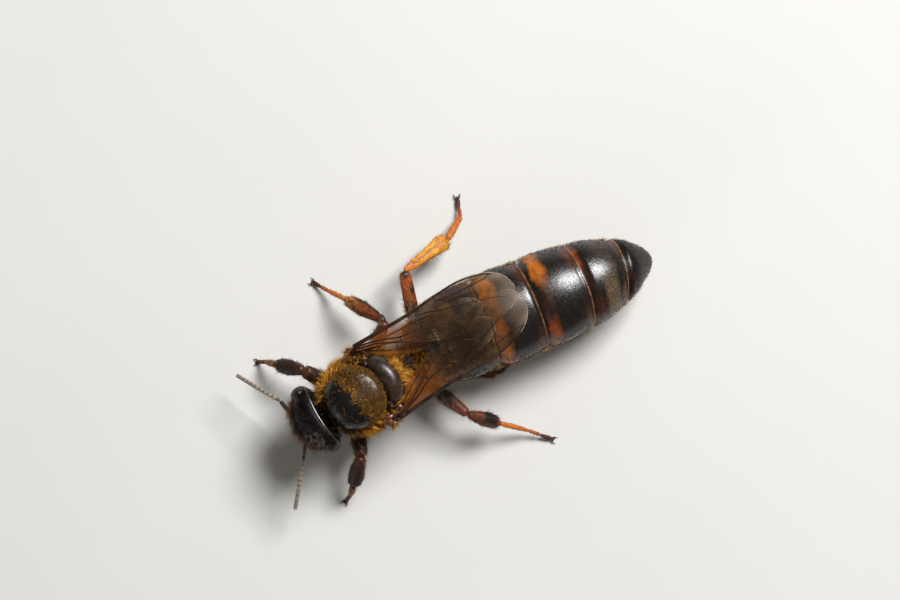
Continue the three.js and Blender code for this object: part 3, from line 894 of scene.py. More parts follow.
def build_thorax_hair():
    def sides(points):
        x, y, z = xyz(points)
        plates = step_up(np.hypot(x / 1.5, (y + 0.5) / 1.5), 0.93, 1.0) + step_up(-z, -4.5, -4.2)
        small = ridge(np.hypot(np.abs(x) - 1.15, y - 0.98), 0.38) * step_up(z, 4.35, 4.6)
        ends = step_up(y, -2.05, -1.75) * step_up(-y, -2.5, -2.2)
        dark_side = step_up(-y, 1.0, 1.4) * step_up(x, -0.9, -0.4)
        coat = np.clip(plates, 0, 1) * (1 - 0.75 * step_up(-z, -2.6, -2.2)) * (1 - 0.97 * small)
        return coat * ends * (1 - 0.8 * dark_side)

    grow_hair("thorax_hair", thorax_at, 2600, GOLD_HAIR, length=0.5, thick=0.034, lie=backwards, seed=11,
              lift=0.6, keep=sides, curl=0.2)

    def collar(points):
        x, y, z = xyz(points)
        return step_up(-y, 1.0, 1.3) * step_up(y, -2.2, -1.9) * step_up(x, -1.0, -0.5) * step_up(z, 3.0, 3.6)

    grow_hair("collar_hair", thorax_at, 300, TIPPED_HAIR, length=0.36, thick=0.018, lie=backwards, seed=15,
              lift=0.6, hairs=3, keep=collar)

    def right_shoulder(points):
        x, y, z = xyz(points)
        return step_up(-x, 0.55, 0.85) * step_up(-y, 0.85, 1.15) * step_up(z, 3.3, 3.8)

    grow_hair("shoulder_hair", thorax_at, 110, GOLD_HAIR, length=0.72, thick=0.03, lie=(-0.15, -1.0, 0.1),
              seed=18, lift=0.3, keep=right_shoulder, curl=0.2)

    def downy(points):
        x, y, z = xyz(points)
        rubbed = ridge(np.hypot(x, y + 0.5) - 1.27, 0.24) * ridge(x + 0.4, 0.8) * step_up(y, 0.0, 0.3)
        return (1 - 0.97 * bald_share(points)) * step_up(z, 4.75, 5.0) * (1 - 0.95 * rubbed)

    grow_hair("back_down", scutum_at, 3400, DOWN_HAIR, length=0.18, thick=0.019, lie=backwards, seed=12,
              lift=0.42, keep=downy, sway=0.5, **FINE)

    def beside_bald(points):
        share = bald_share(points)
        return 4 * share * (1 - share) * step_up(points[..., 2], 4.9, 5.2) * ridge(points[..., 0] + 0.1, 1.1)

    grow_hair("back_flecks", scutum_at, 200, GOLD_HAIR, length=0.22, thick=0.016, lie=backwards, seed=14,
              lift=0.3, keep=beside_bald, sway=0.5, hairs=2, clump=0.03)

    for side, name in SIDES:
        cap, arm = wing_base_at("cap", side), wing_base_at("arm", side)
        grow_hair(f"wing_root_hair_{name}", cap, 60, GOLD_HAIR, length=0.36, thick=0.022,
                  lie=(side * 0.6, 0.3, -0.5), seed=16, lift=0.4, hairs=3)
        grow_hair(f"wing_arm_hair_{name}", arm, 30, GOLD_HAIR, length=0.3, thick=0.02,
                  lie=(side * 0.5, -0.5, -0.4), seed=17, lift=0.4, hairs=3)

    def rear_edge(points):
        x, y, z = xyz(points)
        return step_up(y + 0.15 * x**2, 1.88, 2.08) * step_up(z, 4.2, 4.6)

    grow_hair("scutellum_hair", scutellum_at, 300, GOLD_HAIR, length=0.42, thick=0.028, lie=backwards,
              seed=13, keep=rear_edge)


# ---- abdomen ----

ABDOMEN_LINE = smooth_line(
    [(-0.19, 2.5, 3.9), (-0.05, 4.9, 3.34), (0.72, 9.5, 3.26), (1.32, 12.8, 2.96), (1.59, 14.4, 2.56),
     (1.93, 15.84, 1.92)]
)
ABDOMEN_LENGTH = np.linalg.norm(np.diff(ABDOMEN_LINE, axis=0), axis=1).sum()
ABDOMEN_WIDTHS = smooth_line(
    [(0, 0.3), (0.04, 0.62), (0.08, 1.45), (0.16, 2.1), (0.4, 2.3), (0.63, 2.24), (0.76, 1.97), (0.87, 1.52),
     (0.95, 0.87), (0.985, 0.46), (1, 0.08)]
)
ABDOMEN_FLATNESS = 0.79
# Rear edges of the waist and the six plates: share of the line, lead of the top, lead of the left side.
PLATE_EDGES = [
    (0.04, 0.05, 0), (0.135, 0.2, 0), (0.325, 0.24, 0), (0.512, 0.24, 0),
    (0.694, 0.32, 0), (0.85, 0.14, -0.25), (1.0, 0, 0),
]
PLATE_THICK = 0.05
PLATE_TUCK = 0.03  # how far a plate starts before the rear edge of the one in front, as a share of the line
BACK_WRAP = 112  # degrees from the top to the side edge of a back plate
BELLY_WRAP = 78  # degrees from the bottom to the side edge of a belly plate
BELLY_SINK = 0.09  # how far the belly plates lie under the back plates' edges
SKIN_SINK = 0.24  # and how far the soft skin does
PLATE_DIP = 0.18  # how far a plate's front edge lies under the plate in front
PLATE_SWELL = 0.11  # how far its middle swells out
# The six back plates: colours at the left and right, where the band lies there, the rear edge's colour, how
# much of the band shows in the middle, how thick the felt is, and the gloss.
BANDS = [
    (DARK_BROWN, DEEP_RED, (0.3, 0.6), (0.3, 0.7), DARK_ORANGE, 0.35, 0.0, 0.6),
    ((0.05, 0.012, 0.005), (0.08, 0.02, 0.006), (0.12, 0.45), (0.12, 0.42), TAN, 0.4, 0.0, 0.6),
    (ORANGE, ORANGE, (0.14, 0.44), (0.17, 0.5), TAN, 0.6, 0.0, 0.6),
    (DARK_ORANGE, ORANGE, (0.17, 0.41), (0.2, 0.5), TAN, 0.06, 0.0, 0.6),
    (DEEP_RED, DARK_ORANGE, (0.2, 0.44), (0.1, 0.28), TAN, 0.1, 0.7, 0.6),
    (DEEP_RED, DEEP_RED, (0.25, 0.4), (0.0, 0.08), DARK_BROWN, 0.2, 0.1, 0.3),
]


def abdomen_at(share, angle, swell):
    """A point of the abdomen at a share of its line and an angle from its top towards its left side."""
    inside = np.clip(share, 0, 1)
    centre = follow(ABDOMEN_LINE, inside)
    before, after = (follow(ABDOMEN_LINE, np.clip(inside + step, 0, 1)) for step in (-0.004, 0.004))
    along = unit(after - before)
    side = unit(np.stack([along[..., 1], -along[..., 0], np.zeros_like(inside)], -1))
    top = np.cross(side, along)
    half = np.maximum(np.interp(inside, *ABDOMEN_WIDTHS.T) + swell, 0.02)
    across = (half * np.sin(angle))[..., None] * side
    up = (half * np.cos(angle) * ABDOMEN_FLATNESS)[..., None] * top
    return centre + across + up


def abdomen_plate(index, belly=False):
    """One plate of the abdomen, tucked under the one in front of it and open behind."""
    front, front_lead, front_skew = PLATE_EDGES[index]
    rear, rear_lead, rear_skew = PLATE_EDGES[index + 1]
    start = front - PLATE_TUCK
    last = index + 2 == len(PLATE_EDGES)
    wrap, sink = (BELLY_WRAP, BELLY_SINK) if belly else (BACK_WRAP, 0.0)

    def at(u, v, depth=0.0):
        angle = np.radians(wrap) * (2 * v - 1)
        if belly:
            angle = np.pi - angle
        share = start + (rear - start) * u
        shown = np.clip((share - front) / (rear - front), 0, 1)
        lead = front_lead + (rear_lead - front_lead) * shown
        skew = front_skew + (rear_skew - front_skew) * shown
        share = share + (lead * np.cos(angle) + skew * np.sin(angle)) / ABDOMEN_LENGTH
        tucked = 1 - step_up(shown, 0.0, 0.2)
        swell = -PLATE_DIP * tucked + PLATE_SWELL * np.sin(np.pi * np.clip(shown * 1.1, 0, 1))
        swell = swell - 0.02 * ridge(shown - 0.93, 0.03)
        if last:
            swell = swell * (1 - shown)
        return abdomen_at(share, angle, swell - sink - depth)

    return at


def build_abdomen():
    for index, band in enumerate(BANDS):
        number = index + 1
        shell = Solid("share", "side").add_plate(abdomen_plate(index), 64, 96, PLATE_THICK)
        look = band_look(f"back_band_{number}", *band)
        make_piece(f"back_plate_{number}", shell, look, [f"abdomen_segment_{number}"])
        under = Solid().add_plate(abdomen_plate(index, belly=True), 40, 60, PLATE_THICK)
        make_piece(f"belly_plate_{number}", under, BELLY)

    def inner(u, v):
        return abdomen_at(0.03 + 0.93 * u, 2 * np.pi * v, -SKIN_SINK)

    make_piece("abdomen_skin", Solid().add_tube(inner, 90, 60), JOINT_SKIN)


HAIR_TUFTS = (700, 1000, 1000, 700, 700, 400)  # on each of the six back plates
TOWARDS_TAIL = (0.1, 1.0, -0.05)
FRINGE_SPAN = (0.12, 0.8)  # where the fringe starts along the abdomen's line, and how far it goes
FRINGE_ANGLES = (78, 40)  # degrees from the top to the fringe, and across it


def build_abdomen_hair():
    def front_only(points):
        return 1 - 0.95 * step_up(points[..., 1], 3.0, 3.8)

    def off_the_ridge(points):
        return 1 - 0.8 * step_up(points[..., 2], 3.9, 4.6)

    for index, tufts in enumerate(HAIR_TUFTS):
        at = abdomen_plate(index)
        first = 0.22 if index else 0.02

        def shown(u, v):
            return at(first + (0.97 - first) * u, v)

        name = f"abdomen_hair_{index + 1}"
        if index == 0:
            grow_hair(name, shown, tufts, GOLD_HAIR, length=0.34, thick=0.02, lie=TOWARDS_TAIL, seed=40,
                      hairs=3, keep=front_only)
        else:
            coat = BROWN_HAIR if index < 5 else DARK_HAIR
            grow_hair(name, shown, tufts, coat, length=0.14, thick=0.011, lie=TOWARDS_TAIL, seed=40 + index,
                      lift=0.2, keep=off_the_ridge, **FINE)

    for side, name in SIDES:

        def flank(u, v):
            share = FRINGE_SPAN[0] + FRINGE_SPAN[1] * u
            return abdomen_at(share, side * np.radians(FRINGE_ANGLES[0] + FRINGE_ANGLES[1] * v), 0.03)

        grow_hair(f"abdomen_fringe_{name}", flank, 1000, PALE_HAIR, length=0.22, thick=0.012,
                  lie=TOWARDS_TAIL, seed=50, lift=0.35, hairs=3)


# ---- head ----

HEAD_CENTRE = np.array([-0.12, -2.93, 3.66])
HEAD_RADII = np.array([1.66, 0.7, 1.58])
EYE_OUT = 1.42  # from the head's middle
EYE_PLACE = (-2.72, 3.92)  # along the bee, and height
EYE_RADII = (0.42, 0.5, 1.03)
EYE_SLANT = 9  # degrees
SOCKET_OUT = 0.38  # from the head's middle to the hollow round a feeler's root
SOCKET_UP = 0.12
FACET_ROWS = 0.05  # from row to row
FACET_STEP = 0.058  # along a row
FACET_HEIGHT = 0.004
HEAD_RIM_TURN = 113  # degrees from the face over the top to the rim behind
HEAD_RIM_SPAN = (0.18, 0.82)  # from the left to the right end of the rim
HEAD_RIM_RADIUS = 0.06
# The three simple eyes: out from the head's middle, along the bee, and height.
OCELLI = ((0.0, -3.47, 4.72), (0.24, -3.36, 4.98), (-0.24, -3.36, 4.98))


def head_at(u, v):
    """The head's shell. Its poles lie under the eyes, and v goes round from the face over the top."""
    x = np.cos(np.pi * u)
    y = -np.sin(np.pi * u) * np.cos(2 * np.pi * v)
    z = np.sin(np.pi * u) * np.sin(2 * np.pi * v)
    z = np.where(z > 0, z * np.maximum(np.sin(np.pi * u), 0.01) ** -0.5, z)
    wide = (1 + 0.16 * z) * (1 - 0.18 * step_up(-z, 0.35, 1.0))
    across = np.sign(x) * np.abs(x) ** 0.86 * wide
    brow = 0.09 * ridge(z - 0.62, 0.22) * ridge(across, 0.45) * step_up(-y, 0.1, 0.5)
    from_socket = np.hypot(np.abs(across) * HEAD_RADII[0] - SOCKET_OUT, z * HEAD_RADII[2] - SOCKET_UP)
    hollow = 0.1 * ridge(from_socket, 0.2)
    groove = 0.03 * ridge(across, 0.025) * ridge(z - 0.42, 0.3) * step_up(-y, 0.3, 0.6)
    round_back = np.degrees(np.arctan2(z, -y))
    rear_rim = np.clip((round_back - 66) / 48, 0, 1) ** 1.6 * (1 - step_up(round_back, 114, 122))
    rear_rim = 0.17 * rear_rim * step_up(np.sin(np.pi * u), 0.25, 0.55)
    deep = y * HEAD_RADII[1] - 0.1 * z + 0.34 * across**2 - brow + (hollow + groove) * step_up(-y, 0.2, 0.6)
    points = np.stack([across * HEAD_RADII[0], deep + 0.8 * rear_rim, z * HEAD_RADII[2] + rear_rim], -1)
    points[..., 1] += 0.14 * step_up(y, -0.1, 0.6)
    points[..., 2] += 0.09 * across * step_up(z, 0.3, 1.0)
    return points + HEAD_CENTRE


def eye_at(side):
    centre = (HEAD_CENTRE[0] + side * EYE_OUT, *EYE_PLACE)
    return lump(centre, EYE_RADII, rotation(side * EYE_SLANT, "Y"))


def faceted(at):
    """The same form with rows of small round facets."""

    def faced(u, v):
        points = at(u, v)
        middle = at(np.array([0.5, 0.5]), np.array([0.0, 0.5])).mean(0)
        a = points[..., 2] / FACET_ROWS
        b = points[..., 1] / FACET_STEP
        shape = np.cos(2 * np.pi * a) + np.cos(np.pi * a + 2 * np.pi * b) + np.cos(np.pi * a - 2 * np.pi * b)
        return points + unit(points - middle) * (FACET_HEIGHT * shape)[..., None]

    return faced


# The root, elbow and tip of each feeler.
FEELERS = {
    "left": [(0.26, -3.58, 3.75), (1.07, -4.17, 3.15), (3.16, -6.03, 2.35)],
    "right": [(-0.5, -3.58, 3.75), (-1.85, -3.75, 3.3), (-4.1, -4.95, 2.45)],
}
FLAGELLUM_JOINTS = 10
PEDICEL_END = 0.07  # as a share of the way from elbow to tip


def build_feeler(name, side):
    root, elbow, tip = (np.array(place) for place in FEELERS[name])
    scape = Solid("joint")
    scape.add_tube(lump(root, (0.11, 0.11, 0.11)), 14, 16, joint=0.9)
    profile = [(0, 0.065), (0.15, 0.085), (0.8, 0.115), (1, 0.1)]
    shaft = limb(root, elbow, profile, bow=(0, 0, 0.05), blunt=0.06)
    scape.add_tube(shaft, 26, 18, joint=0.92)
    make_piece(f"antenna_{name}_scape_shell", scape, FEELER, [f"antenna_{name}_scape"])

    lash = Solid("joint")
    curve = smooth_line([elbow, (elbow + tip) / 2 + np.array([0.05 * side, -0.04, 0.1]), tip])
    pedicel = limb(elbow - 0.02, follow(curve, PEDICEL_END), [(0, 0.06), (0.6, 0.1), (1, 0.075)], blunt=0.2)
    lash.add_tube(pedicel, 14, 16, joint=0.7)
    ends = PEDICEL_END + 0.93 * (np.arange(FLAGELLUM_JOINTS + 1) / FLAGELLUM_JOINTS) ** 0.96
    for number, (start, end) in enumerate(zip(ends, ends[1:])):
        profile = [(0, 0.094 if number else 0.06), (0.12, 0.098), (0.5, 0.103), (0.9, 0.101), (1, 0.097)]
        joint = limb(follow(curve, start), follow(curve, min(end, 1.0)), profile, blunt=0.03)
        points, faces, share, _ = tube(joint, 16, 18)
        lash.add(points, faces, joint=np.clip(ridge(share, 0.1) + ridge(share - 1, 0.06), 0, 1))
    make_piece(f"antenna_{name}_flagellum_shell", lash, FEELER, [f"antenna_{name}_flagellum"])


JAW_PATH = [(0.62, -3.1, 2.6), (0.56, -3.34, 2.26), (0.36, -3.5, 1.96), (0.07, -3.52, 1.7)]
JAW_WIDTHS = [(0, 0.18), (0.12, 0.22), (0.38, 0.14), (0.72, 0.22), (0.9, 0.17), (1, 0.05)]


def build_jaw(side, middle):
    """A jaw: stout at its root, waisted, then a broad blade whose inner edge meets the other jaw's."""
    path = smooth_line(JAW_PATH, 60)
    path[:, 0] = middle + side * path[:, 0]
    widths = smooth_line(JAW_WIDTHS)
    along = unit(np.gradient(path, axis=0))
    facing = np.array([0.0, -1.0, 0.0])
    across = unit(np.cross(along, facing))
    thick = unit(np.cross(across, along))

    def at(u, v):
        turn = 2 * np.pi * v[..., None]
        half = (np.interp(u, *widths.T) * round_ends(u, 0.08))[..., None]
        flat = 0.6 - 0.32 * u[..., None]
        ring = np.cos(turn) * follow(across, u) + flat * np.sin(turn) * follow(thick, u)
        return follow(path, u) + half * ring

    return Solid("share").add_tube(at, 40, 26)


def build_head():
    make_piece("head_shell", Solid().add_tube(head_at, 120, 150), FACE, ["head"])
    for side, name in SIDES:
        lens = Solid().add_tube(faceted(eye_at(side)), 110, 130)
        make_piece(f"compound_eye_{name}", lens, EYE, [f"eye_{name}"])
        build_feeler(name, side)

    crest = head_at(np.linspace(*HEAD_RIM_SPAN, 40), np.full(40, HEAD_RIM_TURN / 360)) + [0, 0.02, 0.0]
    rim = Solid().add_wire(crest, (HEAD_RIM_RADIUS, HEAD_RIM_RADIUS), 16, 90)
    make_piece("head_rim", rim, RIM)

    ocelli = Solid()
    for x, y, z in OCELLI:
        ocelli.add_tube(lump((HEAD_CENTRE[0] + x, y, z), (0.11, 0.1, 0.11)), 16, 18)
    make_piece("simple_eyes", ocelli, EYE)

    x = HEAD_CENTRE[0]

    def clypeus(u, v, depth=0.0):
        across = 2 * v - 1
        half = 0.36 + 0.28 * u
        bulge = 0.3 * (1 - across**2) * np.sin(np.pi * (0.12 + 0.86 * u))
        y = -3.42 - bulge + 0.16 * across**2 + 0.1 * u + depth
        return np.stack([x + across * half, y, 3.4 - 0.95 * u + 0.08 * across**2], -1)

    make_piece("clypeus_plate", Solid().add_plate(clypeus, 30, 34, 0.3), FACE, ["clypeus"])
    lip = Solid().add_tube(lump((x, -3.42, 2.42), (0.42, 0.12, 0.15)), 20, 20)
    make_piece("upper_lip", lip, JAW)

    for side, name in SIDES:
        make_piece(f"jaw_{name}", build_jaw(side, x), JAW, [f"mandible_{name}"])

    mouth = Solid()
    mouth.add_tube(limb((x, -2.72, 2.5), (x, -2.76, 1.75), [(0, 0.3), (0.5, 0.24), (1, 0.14)]), 22, 20)
    for side, _ in SIDES:
        path = [(x + side * 0.16, -2.98, 2.3), (x + side * 0.13, -2.96, 1.9), (x + side * 0.05, -2.86, 1.55)]
        mouth.add_wire(path, (0.1, 0.03), 8, 16)
    mouth.add_wire([(x, -2.9, 2.2), (x, -2.88, 1.8), (x, -2.78, 1.5)], (0.09, 0.05), 8, 16)
    make_piece("tongue_parts", mouth, JAW, ["tongue"])


def build_head_hair():
    def from_middle(points):
        return np.abs(points[..., 0] - HEAD_CENTRE[0])

    def off_the_eyes(points):
        return 1 - step_up(from_middle(points), 1.28, 1.42)

    def top(points):
        away = (points - HEAD_CENTRE) / HEAD_RADII
        from_rear = np.degrees(np.arctan2(away[..., 2], away[..., 1]))
        return off_the_eyes(points) * step_up(points[..., 2], 3.9, 4.8) * step_up(from_rear, 72, 92)

    def face(points):
        _, y, z = xyz(points)
        plate_bare = 1 - 0.93 * step_up(-from_middle(points), -0.62, -0.5) * step_up(-z, -3.45, -3.35)
        return off_the_eyes(points) * step_up(-y, 2.95, 3.15) * step_up(-z, -4.6, -3.9) * plate_bare

    def brow(points):
        _, y, z = xyz(points)
        return off_the_eyes(points) * step_up(-y, 3.1, 3.3) * step_up(z, 3.0, 3.4) * step_up(-z, -4.5, -4.1)

    def temples(points):
        return top(points) * step_up(points[..., 0] - HEAD_CENTRE[0], 0.4, 0.8)

    def nape(points):
        _, y, z = xyz(points)
        return off_the_eyes(points) * step_up(y, -2.75, -2.5) * step_up(-z, -4.9, -4.6)

    forward = (0.0, -1.0, 0.35)
    grow_hair("head_hair", head_at, 230, DARK_HAIR, length=0.3, thick=0.014, lie=forward, seed=21, lift=0.6,
              keep=top, sway=0.35)
    grow_hair("face_hair", head_at, 900, FACE_HAIR, length=0.33, thick=0.013, lie=(0, -0.4, -1.0), seed=22,
              lift=0.6, keep=face, sway=0.3)
    grow_hair("brow_hair", head_at, 420, FACE_HAIR, length=0.54, thick=0.014, lie=(0, -1.0, -0.1), seed=26,
              lift=0.8, keep=brow, sway=0.35)
    grow_hair("nape_hair", head_at, 260, TIPPED_HAIR, length=0.26, thick=0.022, lie=(0, 0.4, 0.6), seed=23,
              lift=0.6, keep=nape, hairs=3)
    grow_hair("temple_hair", head_at, 110, TIPPED_HAIR, length=0.36, thick=0.016, lie=forward, seed=24,
              lift=0.8, keep=temples, sway=0.4, hairs=3)
    for side, name in SIDES:
        grow_hair(f"eye_hair_{name}", eye_at(side), 260, DARK_HAIR, length=0.07, thick=0.008, lie=(0, 0, -1),
                  seed=25, lift=0.9, **FINE)


# ---- wings ----

# "yaw" turns a wing's tip inwards in degrees, "height" lifts all of it and "sag" lowers its rear edge.
WINGS = {
    "forewing_left": {"root": (2.1, 0.95, 5.32), "yaw": 1, "height": 0.06, "sag": 0.14},
    "forewing_right": {"root": (-2.25, 0.85, 5.32), "yaw": -0.3, "height": 0.3, "sag": 0.0},
    "hindwing_left": {"root": (1.72, 1.5, 4.8), "yaw": 5, "height": 0.3, "sag": 0.0},
    "hindwing_right": {"root": (-1.86, 1.4, 4.8), "yaw": 3.5, "height": 0.36, "sag": 0.0},
}
WING_PITCH = 2
WING_ROLL = 9
# Edges: places along and across the wing, in millimetres.
FOREWING_FRONT = [(0, 0), (3, 0.1), (6.0, 0.02), (7.4, 0.4), (8.15, 1.0), (8.38, 1.7)]
FOREWING_REAR = [(0, 0.34), (1.6, 0.95), (3.4, 1.95), (5.4, 2.62), (6.9, 2.76), (8.0, 2.42), (8.38, 1.7)]
HINDWING_FRONT = [(0, 0), (2.2, -0.02), (4.4, 0.02), (5.7, 0.36), (6.1, 0.92)]
HINDWING_REAR = [(0, 0.4), (0.9, 1.0), (2.2, 1.55), (3.9, 1.7), (5.5, 1.45), (6.1, 0.92)]
# Veins: places along and across the wing, then the radius at both ends.
FOREWING_VEINS = [
    ([(0, 0.06), (1.5, 0.12), (3, 0.16), (4.6, 0.1)], 0.085, 0.06),
    ([(0, 0.13), (1.5, 0.2), (3, 0.23), (3.9, 0.2)], 0.06, 0.04),
    ([(4.5, 0.1), (6.0, 0.08), (7.2, 0.38), (7.7, 0.66)], 0.05, 0.03),
    ([(4.57, 0.1), (4.74, 0.33), (5.5, 0.5), (6.5, 0.6), (7.2, 0.66), (7.6, 0.6)], 0.035, 0.025),
    ([(3.9, 0.14), (3.42, 0.45), (3.2, 1.12)], 0.035, 0.03),
    ([(3.5, 0.46), (3.99, 0.6), (4.55, 0.84), (5.3, 1.08), (6.35, 1.41), (7.2, 1.72), (7.85, 2.05)],
     0.032, 0.014),
    ([(4.74, 0.33), (4.5, 0.56), (4.55, 0.84)], 0.03, 0.03),
    ([(4.78, 0.36), (5.19, 0.68), (5.36, 1.1)], 0.03, 0.03),
    ([(6.5, 0.6), (6.22, 0.95), (6.3, 1.4)], 0.028, 0.028),
    ([(6.35, 1.41), (6.3, 1.7), (5.94, 1.97)], 0.028, 0.028),
    ([(5.3, 1.08), (5.12, 1.4), (4.75, 1.64)], 0.028, 0.028),
    ([(0, 0.2), (0.6, 0.3), (1.46, 0.59), (2.24, 0.94), (3.2, 1.12), (4.01, 1.42), (4.9, 1.68), (5.94, 1.97),
      (6.7, 2.4)], 0.05, 0.014),
    ([(2.24, 0.94), (2.19, 1.22)], 0.03, 0.03),
    ([(0, 0.27), (1.0, 0.56), (2.19, 1.21), (3.1, 1.66), (3.9, 1.98), (4.5, 2.14)], 0.045, 0.018),
    ([(4.01, 1.42), (3.88, 1.84), (4.3, 1.9), (5.13, 2.09), (6.0, 2.46)], 0.028, 0.014),
]
HINDWING_VEINS = [
    ([(0, 0.08), (1.4, 0.1), (2.9, 0.12), (3.9, 0.24), (4.9, 0.5), (5.7, 0.72)], 0.06, 0.016),
    ([(0, 0.2), (1.0, 0.42), (2.2, 0.7), (3.3, 0.82), (4.4, 0.98), (5.4, 1.2)], 0.045, 0.014),
    ([(2.6, 0.12), (2.75, 0.42), (2.5, 0.74)], 0.028, 0.028),
    ([(1.5, 0.54), (2.1, 0.98), (3.0, 1.3), (3.9, 1.5)], 0.03, 0.014),
    ([(0, 0.3), (0.7, 0.66), (1.6, 1.06), (2.4, 1.34)], 0.03, 0.014),
]
WING_SHAPES = {
    "forewing": (FOREWING_FRONT, FOREWING_REAR, FOREWING_VEINS),
    "hindwing": (HINDWING_FRONT, HINDWING_REAR, HINDWING_VEINS),
}
MEMBRANE_THICK = 0.014


def wing_place(name, along, across, lift=0.0):
    """Places a spot of a wing, given along it from its root and across it from its front edge."""
    wing = WINGS[name]
    side = math.copysign(1, wing["root"][0])
    bulge = 0.1 * np.sin(np.pi * np.clip(across / 2.6, 0, 1)) + 0.025 * np.sin(5.5 * across + 0.6 * along)
    sag = -wing["sag"] * step_up(across, 1.5, 2.6)
    droop = -0.006 * np.asarray(along) ** 2
    height = wing["height"] + bulge * step_up(along, 0.0, 2.5) + sag + droop + lift
    spot = np.stack([-side * across, along, np.broadcast_to(height, np.shape(along))], -1)
    turn = rotation(side * wing["yaw"], "Z") @ rotation(WING_PITCH, "X") @ rotation(side * WING_ROLL, "Y")
    return spot @ turn.T + np.array(wing["root"])


def build_wings():
    for name in WINGS:
        front, rear, paths = WING_SHAPES[name.split("_")[0]]
        front, rear = smooth_line(front), smooth_line(rear)

        def membrane(u, v, depth=0.0):
            spot = follow(front, u) * (1 - v)[..., None] + follow(rear, u) * v[..., None]
            return wing_place(name, spot[..., 0], spot[..., 1], -depth)

        skin = Solid("share", "side").add_plate(membrane, 90, 40, MEMBRANE_THICK)
        make_piece(f"{name}_membrane", skin, WING, [name])
        veins = Solid()
        for path, thick, thin in paths:
            line = smooth_line(path, 8 * len(path))
            places = wing_place(name, *line.T, -MEMBRANE_THICK / 2)
            veins.add_wire(places, (thick, thin), 7, len(line))
        make_piece(f"{name}_veins", veins, VEIN)
        # a thin pale wire round each wing's tip, coloured as a painted glint on the rim
        edge = np.vstack([follow(front, np.linspace(0.8, 1, 40)), follow(rear, np.linspace(0.99, 0.86, 30))])
        glint_line = Solid().add_wire(wing_place(name, *edge.T, -MEMBRANE_THICK / 2), (0.015, 0.012), 6, 120)
        make_piece(f"{name}_hem", glint_line, WING_GLINT)


# ---- legs ----

# Where each leg leaves the body, its hip, knee, ankle and instep, and its foot on the floor.
LEGS = {
    "front_left": [(0.5, -0.9, 2.2), (0.98, -1.1, 1.6), (2.67, -1.8, 2.75), (3.73, -2.94, 1.7),
                   (4.05, -3.35, 0.75), (4.2, -3.7)],
    "front_right": [(-0.5, -0.9, 2.2), (-0.98, -1.1, 1.6), (-2.5, -1.95, 2.75), (-3.5, -3.0, 1.7),
                    (-3.9, -3.4, 0.75), (-4.1, -3.75)],
    "middle_left": [(1.1, 0.6, 2.2), (1.48, 3.0, 1.85), (3.7, 3.85, 2.7), (4.95, 4.95, 1.65),
                    (6.07, 6.0, 0.62), (7.05, 6.75)],
    "middle_right": [(-1.05, 0.5, 2.2), (-1.5, 1.55, 1.9), (-2.45, 2.8, 3.1), (-4.45, 1.7, 1.75),
                     (-5.3, 1.15, 0.62), (-6.0, 0.75)],
    "hind_left": [(0.4, 1.7, 2.3), (0.7, 3.6, 1.45), (2.78, 6.2, 2.0), (1.95, 8.7, 1.0),
                  (1.85, 10.3, 0.45), (1.95, 11.4)],
    "hind_right": [(-0.52, 1.7, 2.3), (-0.9, 3.75, 1.5), (-4.08, 4.95, 2.6), (-4.3, 7.62, 1.5),
                   (-4.9, 8.8, 0.55), (-5.75, 9.15)],
}
# Half-widths at the start, belly and end of the femur, tibia and heel, and how thick the femur and tibia are
# as a share of their width.
LEG_SHAPES = {
    "front": ((0.26, 0.4, 0.36), (0.27, 0.39, 0.33), (0.14, 0.16, 0.11), 0.85),
    "middle": ((0.24, 0.36, 0.27), (0.22, 0.37, 0.31), (0.11, 0.12, 0.09), 0.85),
    "hind": ((0.24, 0.34, 0.31), (0.19, 0.31, 0.44), (0.15, 0.17, 0.13), 0.55),
}
# Along each of them: the place, which of the three half-widths holds there, and a factor on it.
LEG_PROFILES = {
    "femur": [(0, 0, 0.8), (0.12, 0, 1), (0.45, 1, 1), (0.85, 2, 1), (1, 2, 0.9)],
    "tibia": [(0, 0, 1), (0.15, 0, 1.05), (0.55, 1, 1), (0.9, 2, 1), (1, 2, 0.85)],
    "heel": [(0, 0, 0.8), (0.1, 0, 1), (0.5, 1, 1), (0.92, 2, 1), (1, 2, 0.8)],
}
HEEL_THROUGH = 1.3  # the heel joints stand on edge
FOOT_HEIGHT = 0.12
SMALL_JOINTS = (0.0, 0.17, 0.31, 0.45, 1.0)  # ends of the four small foot joints
HIP_BREAK = 0.72  # where the hip's two joints meet
CLAW_POINTS = ((0.3, 1.0), (0.2, 0.85))  # how far each reaches ahead, and down as a share of FOOT_HEIGHT
SPUR_PATH = ((-0.06, 0.16), (0.12, 0.3), (0.3, 0.36))  # how far past the ankle, and how far down

FEMUR_STOPS = [(0.0, BLACK), (0.6, (0.016, 0.008, 0.006)), (0.88, DARK_BROWN), (1.0, DEEP_RED)]
BROWN_FEMUR_STOPS = [(0.0, BLACK), (0.58, BLACK), (0.7, (0.085, 0.02, 0.007)), (0.92, (0.12, 0.028, 0.008)),
                     (1.0, DEEP_RED)]
RED_FEMUR_STOPS = [(0.0, BLACK), (0.48, BLACK), (0.58, (0.24, 0.05, 0.01)), (0.9, (0.32, 0.07, 0.012)),
                   (0.95, DEEP_RED), (1.0, BLACK)]
TIBIA_STOPS = [(0.0, (0.06, 0.015, 0.007)), (0.22, (0.035, 0.012, 0.006)), (0.45, DARK_BROWN),
               (0.85, (0.02, 0.009, 0.006)), (1.0, (0.18, 0.05, 0.012))]
BROWN_TIBIA_STOPS = [(0.0, (0.085, 0.02, 0.007)), (0.3, (0.13, 0.034, 0.01)), (0.85, (0.1, 0.028, 0.009)),
                     (1.0, (0.34, 0.12, 0.03))]
RED_TIBIA_STOPS = [(0.0, DARK_BROWN), (0.2, RED_BROWN), (0.6, (0.23, 0.056, 0.011)), (1.0, (0.5, 0.2, 0.05))]
